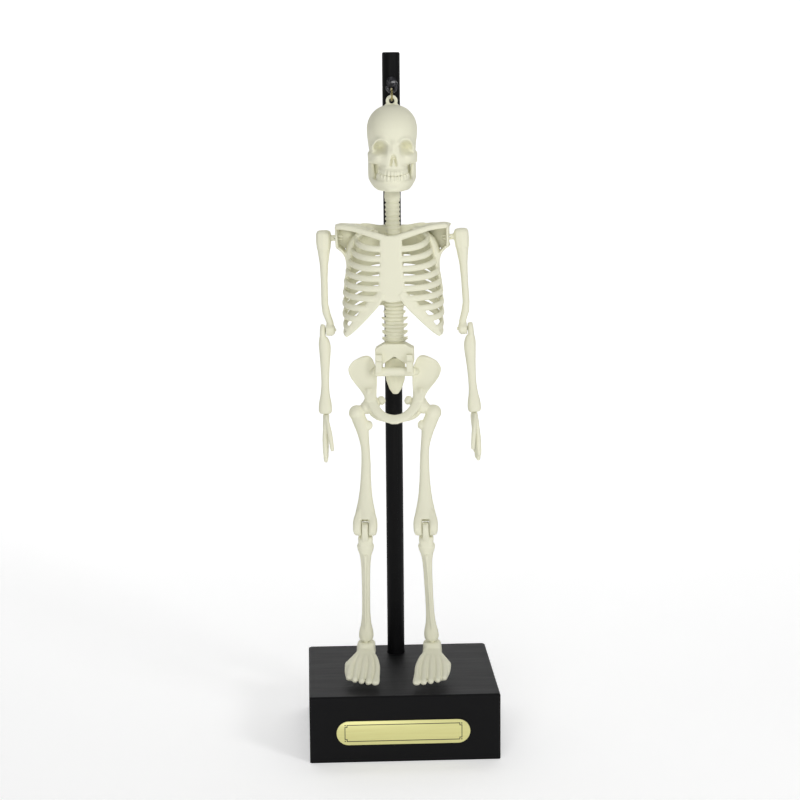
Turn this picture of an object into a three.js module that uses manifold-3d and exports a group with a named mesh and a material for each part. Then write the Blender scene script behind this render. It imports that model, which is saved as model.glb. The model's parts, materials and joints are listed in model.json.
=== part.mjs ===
// Desk model of a human skeleton, hung by a brass ring from a hook on a black wooden stand.
// Millimetres. +Z is up, -Y is the front, and z = 0 is the underside of the stand's base.
// x > 0 is the figure's own left side. Paired pieces are modelled for that side and mirrored.
import * as THREE from 'three';
import * as BufferGeometryUtils from 'three/addons/utils/BufferGeometryUtils.js';
import Module from 'manifold-3d';

const wasm = await Module();
wasm.setup();

// ---------------------------------------------------------------- driving dimensions

const BASE_WIDTH = 100;
const BASE_DEPTH = 96;
const BASE_HEIGHT = 35.5;
const BASE_BEVEL = 0.8;

const POST_RADIUS = 4.75;
const POST_X = -1.1;
const POST_Y = 33.2;
const POST_TOP = 367;
const POST_SOCKET_DEPTH = 22;

const PLATE_LENGTH = 70;
const PLATE_HEIGHT = 12.8;
const PLATE_THICKNESS = 0.5;
const PLATE_Z = 16;

const HOOK_WIRE = 0.8;
const HOOK_BOWL = 2.4;
const HOOK_SHANK_Z = 351.3;

const RING_WIRE = 0.55;
const RING_RADIUS = 2.95;

const FIGURE_X = -2.2;
const LUG_Y = 1;
const LUG_Z = 341.7;
const LUG_RADIUS = 3.2;
const LUG_HOLE = 1.3;

const CRANIUM_HALF = 13.1;
const JAW_HINGE = { y: 3.2, z: 311.6 };

const SPINE_Y = 6;
const NECK_Z = 300;
const SHOULDER = { x: 32.2, y: 0, z: 270.8 };
const CHEST_HALF = 25.6;
const WAIST = { y: -2, z: 199.6 };
const BAR_RADIUS = 2.5;

const HIP = { x: 15, y: -3, z: 180.7 };
const HIP_TILT = 25;
const THIGH = 63.4;
const KNEE_TWIST = -6.9;
const SHANK = 68.6;
const SHANK_LEAN = 0.8;
const UPPER_ARM = 48.8;
const FOREARM = 42;
const WRIST_X = 3.9;

const GAP = 0.3;

// Rest pose, in degrees.
const BODY_TURN = -5.5;
const BODY_ROLL = -0.5;
const THIGH_FORWARD = 16.6;
const SHANK_BACK = 28;
const FOOT_DROOP = 4;
const FOREARM_FORWARD = 5;
const RIGHT_ARM_LEAN = 0.4;
const LEFT_ARM_LEAN = -3.6;

// ---------------------------------------------------------------- materials

const bone = new THREE.MeshStandardMaterial({ color: 0xd9d9b4, roughness: 0.42, metalness: 0 });
const blackWood = new THREE.MeshStandardMaterial({ color: 0x161618, roughness: 0.4, metalness: 0 });
const blackSteel = new THREE.MeshStandardMaterial({ color: 0x1c1c1e, roughness: 0.35, metalness: 0.8 });
const zincSteel = new THREE.MeshStandardMaterial({ color: 0xb8bab8, roughness: 0.35, metalness: 1 });
const brass = new THREE.MeshStandardMaterial({ color: 0xb89a4a, roughness: 0.3, metalness: 1 });
const goldFoil = new THREE.MeshStandardMaterial({ color: 0xd6cf92, roughness: 0.35, metalness: 0.5 });

// ---------------------------------------------------------------- solids

const radians = (degrees) => (degrees * Math.PI) / 180;
const vec = (x, y, z) => new THREE.Vector3(x, y, z);

function solid(geometry) {
  geometry.deleteAttribute('normal');
  geometry.deleteAttribute('uv');
  const welded = BufferGeometryUtils.mergeVertices(geometry, 1e-4);
  return new wasm.Manifold(new wasm.Mesh({
    numProp: 3,
    vertProperties: new Float32Array(welded.attributes.position.array),
    triVerts: new Uint32Array(welded.index.array),
  }));
}

function join(...solids) {
  return solids.flat().reduce((whole, next) => whole.add(next));
}

function cut(base, ...tools) {
  return tools.flat().reduce((left, tool) => left.subtract(tool), base);
}

function mirrored(shape) {
  return shape.mirror([1, 0, 0]);
}

function bothSides(shape) {
  return shape.add(mirrored(shape));
}

function geometryOf(shape) {
  const mesh = shape.getMesh();
  const geometry = new THREE.BufferGeometry();
  geometry.setAttribute('position', new THREE.BufferAttribute(mesh.vertProperties, 3));
  geometry.setIndex(new THREE.BufferAttribute(mesh.triVerts, 1));
  geometry.computeVertexNormals();
  return geometry;
}

// A closed skin over a row of rings that all have the same number of points.
function skin(rings) {
  const sides = rings[0].length;
  const points = rings.flat();
  const faces = [];
  for (let row = 0; row < rings.length - 1; row += 1) {
    for (let side = 0; side < sides; side += 1) {
      const a = row * sides + side;
      const b = row * sides + ((side + 1) % sides);
      faces.push(a, b, b + sides, a, b + sides, a + sides);
    }
  }
  for (const [row, outward] of [[0, false], [rings.length - 1, true]]) {
    const centre = points.length;
    points.push(rings[row].reduce((sum, p) => sum.add(p), vec(0, 0, 0)).divideScalar(sides));
    for (let side = 0; side < sides; side += 1) {
      const a = row * sides + side;
      const b = row * sides + ((side + 1) % sides);
      faces.push(...(outward ? [a, b, centre] : [b, a, centre]));
    }
  }
  const geometry = new THREE.BufferGeometry().setFromPoints(points);
  geometry.setIndex(faces);
  const body = solid(geometry);
  if (body.volume() > 0) {
    return body;
  }
  geometry.setIndex(faces.reverse());
  return solid(geometry);
}

// One superellipse: power 2 is an ellipse, higher is squarer.
function ringPoint(turn, halfX, halfY, power) {
  const c = Math.cos(turn);
  const s = Math.sin(turn);
  const bend = 2 / power;
  return [halfX * Math.sign(c) * Math.abs(c) ** bend, halfY * Math.sign(s) * Math.abs(s) ** bend];
}

// Stacked level sections. Each station is [z, centre x, centre y, half x, half y, power].
function loft(stations, sides = 10) {
  return skin(stations.map(([z, cx, cy, halfX, halfY, power = 2]) =>
    Array.from({ length: sides }, (_, i) => {
      const [x, y] = ringPoint((2 * Math.PI * (i + 0.5)) / sides, halfX, halfY, power);
      return vec(cx + x, cy + y, z);
    })));
}

// Stacked level sections given by their half width and their front and back. Sizes run upward in z.
function headLoft(stations, sides, power) {
  return loft(stations.map(([z, half, front, back]) =>
    [z, 0, (front + back) / 2, half, (back - front) / 2, power]), sides);
}

// A section swept along a curve and kept upright. size(t) gives its half width and half height.
function sweep(curve, steps, size, sides = 6, up = vec(0, 0, 1)) {
  const rings = [];
  for (let step = 0; step <= steps; step += 1) {
    const t = step / steps;
    const along = curve.getTangent(t);
    const across = vec(0, 0, 0).crossVectors(up, along).normalize();
    const high = vec(0, 0, 0).crossVectors(along, across).normalize();
    const [halfWide, halfHigh] = size(t);
    rings.push(Array.from({ length: sides }, (_, i) => {
      const turn = (2 * Math.PI * (i + 0.5)) / sides;
      return curve.getPoint(t)
        .addScaledVector(across, halfWide * Math.cos(turn))
        .addScaledVector(high, halfHigh * Math.sin(turn));
    }));
  }
  return skin(rings);
}

function through(...points) {
  return new THREE.CatmullRomCurve3(points.map(([x, y, z]) => vec(x, y, z)), false, 'centripetal');
}

function block(x0, x1, y0, y1, z0, z1) {
  const geometry = new THREE.BoxGeometry(x1 - x0, y1 - y0, z1 - z0);
  return solid(geometry.translate((x0 + x1) / 2, (y0 + y1) / 2, (z0 + z1) / 2));
}

function ball(x, y, z, rx, ry = rx, rz = rx, wide = 8, high = 6) {
  return solid(new THREE.SphereGeometry(1, wide, high).scale(rx, ry, rz).translate(x, y, z));
}

function rod(from, to, radius, sides = 8, endRadius = radius) {
  const a = vec(...from);
  const b = vec(...to);
  const geometry = new THREE.CylinderGeometry(endRadius, radius, a.distanceTo(b), sides);
  geometry.translate(0, a.distanceTo(b) / 2, 0);
  geometry.applyQuaternion(new THREE.Quaternion().setFromUnitVectors(vec(0, 1, 0), b.clone().sub(a).normalize()));
  return solid(geometry.translate(a.x, a.y, a.z));
}

// A flat outline in x and z, given depth from y0 to y1.
function slab(outline, y0, y1, curveSegments = 6) {
  const shape = outline instanceof THREE.Shape ? outline : new THREE.Shape(outline.map(([x, z]) => new THREE.Vector2(x, z)));
  const geometry = new THREE.ExtrudeGeometry(shape, { depth: y1 - y0, bevelEnabled: false, curveSegments });
  return solid(geometry.rotateX(Math.PI / 2).translate(0, y1, 0));
}

// ---------------------------------------------------------------- stand

function baseSolid() {
  const [w, d, b] = [BASE_WIDTH / 2, BASE_DEPTH / 2, BASE_BEVEL];
  const level = (z, inset) => [[-1, -1], [1, -1], [1, 1], [-1, 1]].flatMap(([sx, sy]) => {
    const corner = vec(sx * (w - inset), sy * (d - inset), z);
    const back = sx * sy > 0 ? vec(0, -sy * b, 0) : vec(-sx * b, 0, 0);
    const on = sx * sy > 0 ? vec(-sx * b, 0, 0) : vec(0, -sy * b, 0);
    return [corner.clone().add(back), corner.clone().add(on)];
  });
  const body = skin([level(0, 0), level(BASE_HEIGHT - b, 0), level(BASE_HEIGHT, b)]);
  const socket = rod([POST_X, POST_Y, BASE_HEIGHT - POST_SOCKET_DEPTH], [POST_X, POST_Y, BASE_HEIGHT + 1], POST_RADIUS + GAP, 20);
  const screwHole = rod([POST_X, POST_Y, -1], [POST_X, POST_Y, BASE_HEIGHT - POST_SOCKET_DEPTH + 1], 1.75 + 2 * GAP, 8);
  const sink = rod([POST_X, POST_Y, -0.01], [POST_X, POST_Y, 3.2], 4 + 2 * GAP, 12, 1.75 + 2 * GAP);
  return cut(body, socket, screwHole, sink);
}

function postSolid() {
  const foot = BASE_HEIGHT - POST_SOCKET_DEPTH + GAP;
  const profile = [[0, foot], [POST_RADIUS - 0.5, foot], [POST_RADIUS, foot + 0.5], [POST_RADIUS, POST_TOP - 0.5],
    [POST_RADIUS - 0.5, POST_TOP], [0, POST_TOP]].map(([r, z]) => new THREE.Vector2(r, z));
  const dowel = solid(new THREE.LatheGeometry(profile, 20).rotateX(Math.PI / 2).translate(POST_X, POST_Y, 0));
  const hookHole = rod([POST_X, POST_Y + 2, HOOK_SHANK_Z], [POST_X, POST_Y - 6, HOOK_SHANK_Z], HOOK_WIRE + 1.3 * GAP, 8);
  const pilot = rod([POST_X, POST_Y, foot - 1], [POST_X, POST_Y, foot + 15], 1.5 + GAP, 10);
  return cut(dowel, hookHole, pilot);
}

function screwSolid() {
  const tip = BASE_HEIGHT - POST_SOCKET_DEPTH + GAP + 13;
  const profile = [[0, 0.4], [3.6, 0.4], [3.6, 0.7], [1.4, 2.8], [1.4, tip - 3], [0, tip]]
    .map(([r, z]) => new THREE.Vector2(r, z));
  const body = solid(new THREE.LatheGeometry(profile, 12).rotateX(Math.PI / 2).translate(POST_X, POST_Y, 0));
  const slot = (w, d) => block(POST_X - w, POST_X + w, POST_Y - d, POST_Y + d, -1, 1.3);
  return cut(body, slot(1.9, 0.4), slot(0.4, 1.9));
}

// The shank leaves the post, then the wire drops and curls across the front as an open bowl.
function hookSolid() {
  const bowl = Array.from({ length: 8 }, (_, i) => {
    const turn = radians(15 - 30 * i);
    return [FIGURE_X + HOOK_BOWL * Math.cos(turn), LUG_Y, bowlCentre() + HOOK_BOWL * Math.sin(turn)];
  });
  const side = FIGURE_X + HOOK_BOWL;
  const path = through([POST_X, POST_Y + 1, HOOK_SHANK_Z], [POST_X, 14, HOOK_SHANK_Z],
    [side, LUG_Y + 2.6, HOOK_SHANK_Z], [side, LUG_Y + 0.4, HOOK_SHANK_Z - 0.9], ...bowl);
  const wire = sweep(path, 20, () => [HOOK_WIRE, HOOK_WIRE], 5, vec(0.5, 0.1, 0.8));
  const front = POST_Y - POST_RADIUS - GAP;
  const collar = rod([POST_X, front, HOOK_SHANK_Z], [POST_X, front - 1, HOOK_SHANK_Z], 3.2, 12, 1.6);
  return join(wire, collar);
}

const ringCentre = () => LUG_Z + LUG_HOLE - RING_WIRE - 1.6 * GAP + RING_RADIUS;
const bowlCentre = () => ringCentre() + RING_RADIUS - RING_WIRE - GAP - HOOK_WIRE + HOOK_BOWL;

function ringSolid() {
  const torus = new THREE.TorusGeometry(RING_RADIUS, RING_WIRE, 5, 14);
  torus.rotateY(Math.PI / 2);
  return solid(torus.translate(FIGURE_X, LUG_Y, ringCentre()));
}

function plateSolid() {
  const r = PLATE_HEIGHT / 2;
  const half = PLATE_LENGTH / 2 - r;
  const outline = new THREE.Shape();
  outline.absarc(half, PLATE_Z, r, -Math.PI / 2, Math.PI / 2);
  outline.absarc(-half, PLATE_Z, r, Math.PI / 2, (3 * Math.PI) / 2);
  outline.closePath();
  const front = -BASE_DEPTH / 2 - 0.1;
  return slab(outline, front - PLATE_THICKNESS, front, 10).translate([-1, 0, 0]);
}

// ---------------------------------------------------------------- head

function skullSolid() {
  const cranium = headLoft([
    [306.6, 4.5, 1, 12], [308.5, 7, -4, 14], [311, 8.4, -8, 15.2], [314, 9.4, -10, 16.4],
    [317, 11.4, -12.6, 17], [320, 12.6, -14.2, 17.2], [323.5, CRANIUM_HALF, -15, 17.2],
    [328, CRANIUM_HALF, -14.8, 16.6], [332, 12.2, -13.4, 15], [335.5, 10, -11, 12.4],
    [338, 6.8, -7.4, 9], [339.4, 2.6, -3.2, 4.6],
  ], 18, 2.3);
  const face = headLoft([
    [304.6, 6.2, -14.6, -4], [307, 6.9, -15, -3], [310, 7.4, -14.9, -3], [313, 8.8, -14.6, -4],
    [316, 10.8, -14.8, -2], [320, 11.4, -15.2, 0], [323, 10.8, -15, 0],
  ], 14, 2.8);
  const cheek = ball(9.9, -12.2, 313.6, 3, 2.8, 2.9);
  const arch = sweep(through([9.4, -12.6, 313.4], [13, -9.4, 314.6], [13.3, -3, 315.4], [12, 4, 316.2]),
    5, (t) => [0.9 + 0.3 * Math.cos(Math.PI * t) ** 2, 1.5], 5);
  const nose = loft([[313.6, 0, -14.6, 1.1, 2.2], [316.5, 0, -14.3, 0.9, 2], [320.5, 0, -13.8, 1.3, 1.8]], 8);
  const browRidge = sweep(through([1.6, -15, 321.8], [6.5, -15.2, 323.2], [11.2, -12.6, 320.6]),
    4, () => [1, 1.1], 4);
  const lug = cut(slab(lugOutline(), LUG_Y - 0.9, LUG_Y + 0.9, 8),
    rod([0, LUG_Y - 3, LUG_Z], [0, LUG_Y + 3, LUG_Z], LUG_HOLE, 10));
  const teeth = toothRow(304, 306.6, 7, -15.2, 3.2, 9);
  const whole = join(cranium, face, bothSides(cheek), bothSides(arch), nose, bothSides(browRidge), lug, teeth);
  const orbit = ball(6.5, -15.6, 318.6, 3.2, 5, 3.3, 12, 7);
  const nostril = ball(0, 0, 0, 1.05, 3.6, 2.9).rotate([0, 17, 0]).translate([1.15, -15.6, 311.2]);
  const temple = ball(17.4, -8.6, 320, 5.4, 4.4, 5.6);
  const underCheek = ball(12.4, -8.4, 307.4, 4.4, 5.4, 5.2);
  const hingeHole = rod([6, JAW_HINGE.y, JAW_HINGE.z], [14, JAW_HINGE.y, JAW_HINGE.z], 0.8 + GAP);
  const neckHole = rod([0, SPINE_Y, 300], [0, SPINE_Y, 311.5], 2 + GAP, 10);
  return cut(whole, ...[orbit, nostril, temple, underCheek, hingeHole].map(bothSides), neckHole);
}

function lugOutline() {
  const outline = new THREE.Shape();
  outline.moveTo(-LUG_RADIUS, 336);
  outline.lineTo(LUG_RADIUS, 336);
  outline.absarc(0, LUG_Z, LUG_RADIUS, 0, Math.PI);
  return outline;
}

// A row of slightly parted teeth round a half ellipse.
function toothRow(bottom, top, half, front, depth, count) {
  const teeth = [];
  for (let i = 0; i < count; i += 1) {
    const turn = radians(-160 + (140 * (i + 0.5)) / count);
    const [x, y] = [half * Math.cos(turn), front + 9 + 9 * Math.sin(turn)];
    const tooth = loft([[bottom, 0, 0, 1.1, 0.7 * depth], [top, 0, 0, 1.3, 0.7 * depth]], 4);
    teeth.push(tooth.rotate([0, 0, (turn * 180) / Math.PI + 90]).translate([x, y + 1, 0]));
  }
  return join(teeth);
}

const SKULL_SEAM = 3.4;
const front = () => block(-30, 30, -40, SKULL_SEAM - GAP / 2, 290, 350);
const rear = () => block(-30, 30, SKULL_SEAM + GAP / 2, 40, 290, 350);

function jawSolid() {
  const outer = headLoft([
    [294.6, 5, -13.6, -7], [295.6, 8, -15, 0], [298, 9.9, -15.5, 9], [301, 11, -15.3, 13],
    [306, 11.8, -15, 14], [313.2, 11.8, -15, 14],
  ], 16, 2.5);
  const inner = headLoft([
    [294, 5.6, -11.5, 12], [298, 7.5, -12.4, 14], [301, 8.6, -12.4, 20], [306, 9.7, -12.4, 20], [314, 9.9, -12.4, 20],
  ], 12, 2.5);
  const aboveBody = slab([[-30, 300.9], [30, 300.9], [30, 330], [-30, 330]], -40, -3.4);
  const pin = rod([8.6, JAW_HINGE.y, JAW_HINGE.z], [11, JAW_HINGE.y, JAW_HINGE.z], 0.8, 8);
  const behind = block(-30, 30, 5.4, 30, 290, 320);
  const ramus = cut(outer, inner, aboveBody, behind);
  return join(ramus, bothSides(pin), toothRow(300.2, 303.5, 6.7, -15, 3, 9));
}

// ---------------------------------------------------------------- trunk

// Discs and waists of the spine, as one turned profile squashed front to back.
function discStack(bottom, top, pitch, radius, waist, squash) {
  const profile = [[0, bottom]];
  const count = Math.round((top - bottom) / pitch);
  for (let i = 0; i < count; i += 1) {
    const z = bottom + i * pitch;
    profile.push([waist, z + 0.001], [radius, z + pitch * 0.25], [radius, z + pitch * 0.75]);
  }
  profile.push([waist, top], [0, top]);
  const turned = new THREE.LatheGeometry(profile.map(([r, z]) => new THREE.Vector2(r, z)), 8);
  return solid(turned.rotateX(Math.PI / 2).scale(1, squash, 1)).translate([0, SPINE_Y, 0]);
}

function spineSolid() {
  const neck = discStack(272, 291.4, 3.23, 3.7, 2.9, 0.9);
  const collar = loft([[290.5, 0, SPINE_Y, 3.9, 3.6], [295.6, 0, SPINE_Y, 3.4, 3.4]], 12);
  const pivot = rod([0, SPINE_Y, 295], [0, SPINE_Y, 310.6], 1.9, 10);
  const chest = discStack(238, 273, 5, 3.6, 3, 0.9);
  const lumbar = discStack(212.4, 239, 2.66, 4.8, 3.9, 0.8);
  const spikes = [226.7, 223.2, 219.6, 216].map((z) =>
    rod([3, SPINE_Y + 2, z], [7.2, SPINE_Y + 3, z + 0.8], 0.9, 5, 0.3));
  const yoke = slab([[-5.6, 214.4], [-10.2, 211.8], [-10.2, 204], [-6.5, 203.4], [0, 207.6],
    [6.5, 203.4], [10.2, 204], [10.2, 211.8], [5.6, 214.4]].reverse(), -1.8, SPINE_Y + 2.6);
  const lug = cut(block(6.5, 9.9, -6, 4, 199.6, 205.4),
    rod([5, WAIST.y, WAIST.z], [12, WAIST.y, WAIST.z], BAR_RADIUS + 0.5, 12));
  const lugFace = block(6.5, 9.9, -5.2, 0, 203, 209);
  const tongue = loft([[186.6, 0, 4.6, 1.4, 1.1], [189.2, 0, 4.9, 3.4, 1.5], [194, 0, 5.4, 5.2, 1.8],
    [200, 0, 5.8, 5.7, 2], [206, 0, 6, 5.4, 2.2]], 10);
  return join(neck, collar, pivot, chest, lumbar, yoke, tongue, bothSides(join(lug, lugFace, ...spikes)));
}

// Height of a rib where it passes the side of the chest, and how far out it stands there.
const ribSide = (k) => 266.5 - 5.35 * k;
const ribHalf = (k) => CHEST_HALF * Math.sin(radians(47 + 6.6 * Math.min(k, 6.6))) - 0.25 * Math.max(0, k - 7);
const RIBS_ON_STERNUM = 6;
const RIBS = 9;
const costal = (t) => vec(7 + 17.4 * t, -16 + 5.5 * t, 240.6 - 20 * t);

function quarterRib(k, from, to, side) {
  const points = [];
  for (let i = 0; i <= 8; i += 1) {
    const turn = (Math.PI / 2) * (i / 8);
    const out = Math.cos(turn) ** 0.9;
    const blend = 1 - Math.cos(turn);
    points.push(vec(to.x + (from.x - to.x) * out, side + (to.y - side) * Math.sin(turn),
      from.z + (to.z - from.z) * blend));
  }
  return new THREE.CatmullRomCurve3(points);
}

function frontRib(k) {
  const side = { x: ribHalf(k), z: ribSide(k) };
  const onCostal = costal((k - RIBS_ON_STERNUM + 1.05) / 3.6);
  const end = k < RIBS_ON_STERNUM ? vec(5.4, -16, 266.8 - 5.25 * k) : onCostal;
  return sweep(quarterRib(k, side, end, -2), 5, (t) => [1.05, 1.6 - 0.2 * t], 4);
}

function rearRib(k) {
  const side = { x: ribHalf(k), z: ribSide(k) };
  return sweep(quarterRib(k, side, vec(4, 11.6, ribSide(k) + 8.5), -2 + 2 * GAP), 5, () => [1.05, 1.6], 4);
}

function sternumOutline() {
  const right = [[2.2, 272.6], [5.2, 273.4], [6.1, 271], [5.6, 264], [6.2, 252], [7.2, 241.2], [5.2, 239.6], [1.6, 239.8], [0, 238.2]];
  return [[0, 271.6], ...right, ...right.slice(0, -1).reverse().map(([x, z]) => [-x, z])].reverse();
}

function ribCageFront() {
  const sternum = slab(sternumOutline(), -17.2, -15.2);
  const ribs = Array.from({ length: RIBS }, (_, k) => frontRib(k));
  const margin = sweep(new THREE.CatmullRomCurve3([-0.06, 0.2, 0.45, 0.7, 0.9, 1].map(costal)), 6,
    (t) => [1, 1.9 * (1 - 0.45 * t)], 5);
  const tipRib = sweep(new THREE.CatmullRomCurve3([vec(24.4, -10.5, 220.6), vec(25.4, -6.5, 221.4), vec(25.2, -2, 223)]),
    3, () => [1.05, 1.6], 4);
  const clavicle = sweep(through([4, -15.8, 272.2], [11, -14.6, 273.8], [20, -11.8, 276.4], [28.6, -8.6, 277.2]),
    6, () => [1.3, 1.35], 6);
  return join(sternum, bothSides(join(margin, tipRib, clavicle, ...ribs)));
}

function ribCageBack() {
  const plate = loft([[219, 0, 12.4, 3.4, 1.1, 3], [228, 0, 12.8, 4.6, 1.2, 3], [262, 0, 12.8, 4.8, 1.2, 3],
    [276, 0, 12.4, 4, 1.2, 3]], 10);
  const ribs = Array.from({ length: RIBS }, (_, k) => rearRib(k));
  const outer = cut(block(28.2, 29.8, -6.4, 9.6, 265.8, 277.6),
    rod([26, SHOULDER.y, SHOULDER.z], [33, SHOULDER.y, SHOULDER.z], 1.6 + 3 * GAP, 10));
  const roof = skin([[29.7, 275.8, 277.6], [22, 276.6, 278.2], [13.5, 274, 275.4]].map(([x, low, high]) => {
    const reach = (x - 13.5) / 16.2;
    return [[-6.2 * reach + 1, low], [10.6, low - 1], [10.6, high - 1], [-6.2 * reach + 1, high]]
      .map(([y, z]) => vec(x, y, z));
  }));
  const blade = skin([[8.6, 258.4, 272.6, 12.6], [14, 250, 275, 12.2], [19, 248.4, 276.6, 11.4],
    [25, 257.6, 276.6, 10.2], [29.7, 265.8, 276.6, 9]].map(([x, low, high, y]) =>
    [[y - 0.8, low], [y + 0.8, low], [y + 0.8, high], [y - 0.8, high]].map(([depth, z]) => vec(x, depth, z)).reverse()));
  const sill = skin([[23.6, 261.6, 5.4], [29.7, 266, -6.4]].map(([x, z, y]) =>
    [vec(x, 9.8, z), vec(x, y, z), vec(x, y, z + 1.4), vec(x, 9.8, z + 1.4)]));
  return join(plate, bothSides(join(outer, roof, blade, sill, ...ribs)));
}

// ---------------------------------------------------------------- pelvis

const HIP_AXIS = vec(Math.cos(radians(HIP_TILT)), 0, -Math.sin(radians(HIP_TILT)));
const alongHip = (distance) => [HIP.x + HIP_AXIS.x * distance, HIP.y, HIP.z + HIP_AXIS.z * distance];

function pelvisSolid() {
  const bar = rod([-10.6, WAIST.y, WAIST.z], [10.6, WAIST.y, WAIST.z], BAR_RADIUS, 12);
  const wing = loft([[184.6, 13.4, -3, 3.4, 3.4], [188.4, 14, -2.4, 4.4, 2.8], [192, 15.4, -1.4, 6.3, 2.1],
    [196, 16, -0.6, 7.9, 1.7], [200, 17.1, 0, 7.7, 1.5], [203.6, 17, 0.6, 6.6, 1.5], [206.4, 16.2, 1, 4, 1.5],
    [207.9, 15.2, 1.2, 1.4, 1]], 10);
  const dish = ball(17, -6.4, 200, 6.2, 6.2, 6.4);
  const root = rod([10.5, WAIST.y, WAIST.z], [14.5, -1.6, 197], BAR_RADIUS, 8, 2.2);
  const socket = ball(...alongHip(-2.6), 5, 5, 5, 10, 7);
  const ramus = sweep(through([12.6, -3.4, 188], [12, -5.6, 183.4], [9.2, -8.2, 178.8], [4.6, -10, 176], [0, -10.5, 175.1],
    [-2, -10.4, 175.2]), 8, (t) => [1.6, 2.4 + 0.5 * t], 6, vec(0, 0.9, 0.45));
  const ischium = sweep(through([13.6, -3, 180.8], [12.4, -4.6, 177.6], [9.4, -7.6, 176.2], [5, -9.4, 175.4]),
    4, () => [1.5, 1.5], 4);
  const side = cut(join(wing, root, socket, ramus, ischium), dish);
  const halves = bothSides(side);
  const cup = join(ball(HIP.x, HIP.y, HIP.z, 4.2, 4.2, 4.2, 10, 6), rod(alongHip(0), alongHip(8), 4.2, 10, 6));
  const bore = rod(alongHip(-12), alongHip(6), 1.9 + GAP, 10);
  return cut(join(bar, halves), bothSides(cup), bothSides(bore));
}

// ---------------------------------------------------------------- limbs
// Each limb bone stands in its own frame: its upper joint is at the origin and it runs down -Z.

// A drum with rounded rims, lying along x.
function drum(half, radius) {
  const profile = [[0, -half], [radius * 0.7, -half], [radius, 0.75 - half], [radius, half - 0.75], [radius * 0.7, half], [0, half]];
  return solid(new THREE.LatheGeometry(profile.map(([r, x]) => new THREE.Vector2(r, x)), 12).rotateZ(-Math.PI / 2));
}

// A snap peg along x: a shaft, a wider end and the slot that lets it close.
function snapPeg(from, to, radius, direction = -1) {
  const shaft = rod([from, 0, 0], [to, 0, 0], radius);
  const head = rod([to - direction * 2.4, 0, 0], [to, 0, 0], radius + 0.2, 8, radius - 0.5);
  const slit = block(Math.min(to, to - direction * 4.6) - 0.1, Math.max(to, to - direction * 4.6) + 0.1, -9, 9, -0.4, 0.4);
  return cut(join(shaft, head), slit);
}

function humerusSolid() {
  const h = UPPER_ARM;
  const head = loft([[-6, 4.1, 0, 3.6, 3.4, 2.6], [-2, 4.1, 0, 4, 3.9, 3], [2.2, 4.1, 0, 4, 3.9, 3], [3.6, 4.1, 0, 3.4, 3.3, 2.6], [4.1, 4.1, 0, 2.2, 2.1]]);
  const shaft = loft([[-h + 1, 1.2, 0, 2, 1.8], [-h + 4, 1.4, 0, 2, 1.8], [-h + 9, 3.2, 0, 2.2, 1.9], [-h + 14, 4, 0, 1.9, 1.9],
    [-22, 4.1, 0, 1.9, 2.1], [-14, 4.1, 0, 2.3, 2.4], [-8, 4.1, 0, 3.2, 3],
    [-3, 4.1, 0, 3.9, 3.7]], 10);
  const knob = join(rod([0, 0, -h], [3.4, 0, -h], 3.2, 10), ball(0.2, 0, -h, 1.8, 3.1, 3.1));
  const hole = rod([-5, 0, -h], [6, 0, -h], 1 + GAP, 10);
  return cut(join(head, shaft, knob, snapPeg(0.8, -6.2, 1.6)), hole);
}

function forearmSolid() {
  const l = FOREARM;
  const disc = rod([3.7, 0, 0], [6.9, 0, 0], 3, 10);
  const peg = rod([4, 0, 0], [-1.9, 0, 0], 1, 8);
  const shaft = loft([[-l - 2.2, 4.6, 0, 2.2, 2.2], [-l, 4.6, 0, 3.4, 3], [-l + 3, 4.6, 0, 3.5, 2.8],
    [-l + 7, 4.4, 0, 2.5, 2.2], [-l + 13, 4.2, 0, 1.95, 2], [-l + 22, 4.1, 0, 2.2, 2.4],
    [-9, 4.1, 0, 3.1, 2.9], [-6, 4.4, 0, 2.9, 2.8], [-3.9, 4.9, 0, 2.1, 2.4], [-1, 5.4, 0, 1.2, 2.2]]);
  const clear = rod([-4, 0, 0], [3.7, 0, 0], 3.9, 10);
  const slot = block(-1, 10, -0.95, 0.95, -l - 6, -l + 3.4);
  const pin = rod([WRIST_X, -3.5, -l + 0.4], [WRIST_X, 3.5, -l + 0.4], 0.8 + GAP, 8);
  return cut(join(cut(join(shaft, disc), clear), peg), slot, pin);
}

// The hand is a flat plate seen edge-on from the front, with four fingers and a thumb held forward.
function handSolid() {
  const palm = loft([[-11.4, 0.4, 0, 1, 4.4, 3], [-8, 0.2, 0, 1.5, 4.6, 3], [-4.4, 0, 0, 1.9, 3.2, 3], [-3.2, 0, 0, 1.9, 2.4, 3]], 10);
  const tongue = join(block(-1.6, 1.6, -0.65, 0.65, -4, 1), rod([0, -0.65, 0.4], [0, 0.65, 0.4], 2.2, 10));
  const pin = rod([0, -2.6, 0.4], [0, 2.6, 0.4], 0.8, 8);
  const fingers = [[-3.3, 21.6], [-1.1, 24], [1.1, 23.2], [3.3, 20]].map(([y, reach]) =>
    sweep(through([0.2, y * 0.8, -9], [0.8, y, -14], [0.9, y * 1.06, -reach + 3], [0.4, y, -reach]),
      4, (t) => [0.95 - 0.25 * t, 0.95 - 0.3 * t], 5, vec(0, 1, 0)));
  const thumb = sweep(through([0, -2.6, -5], [-1.8, -5.2, -9.4], [-3.2, -6.4, -13.8], [-3.4, -6.6, -17.6]), 4,
    (t) => [1.1 - 0.3 * t, 1.2 - 0.4 * t], 5, vec(0, 1, 0));
  return join(palm, tongue, pin, thumb, ...fingers);
}

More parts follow.
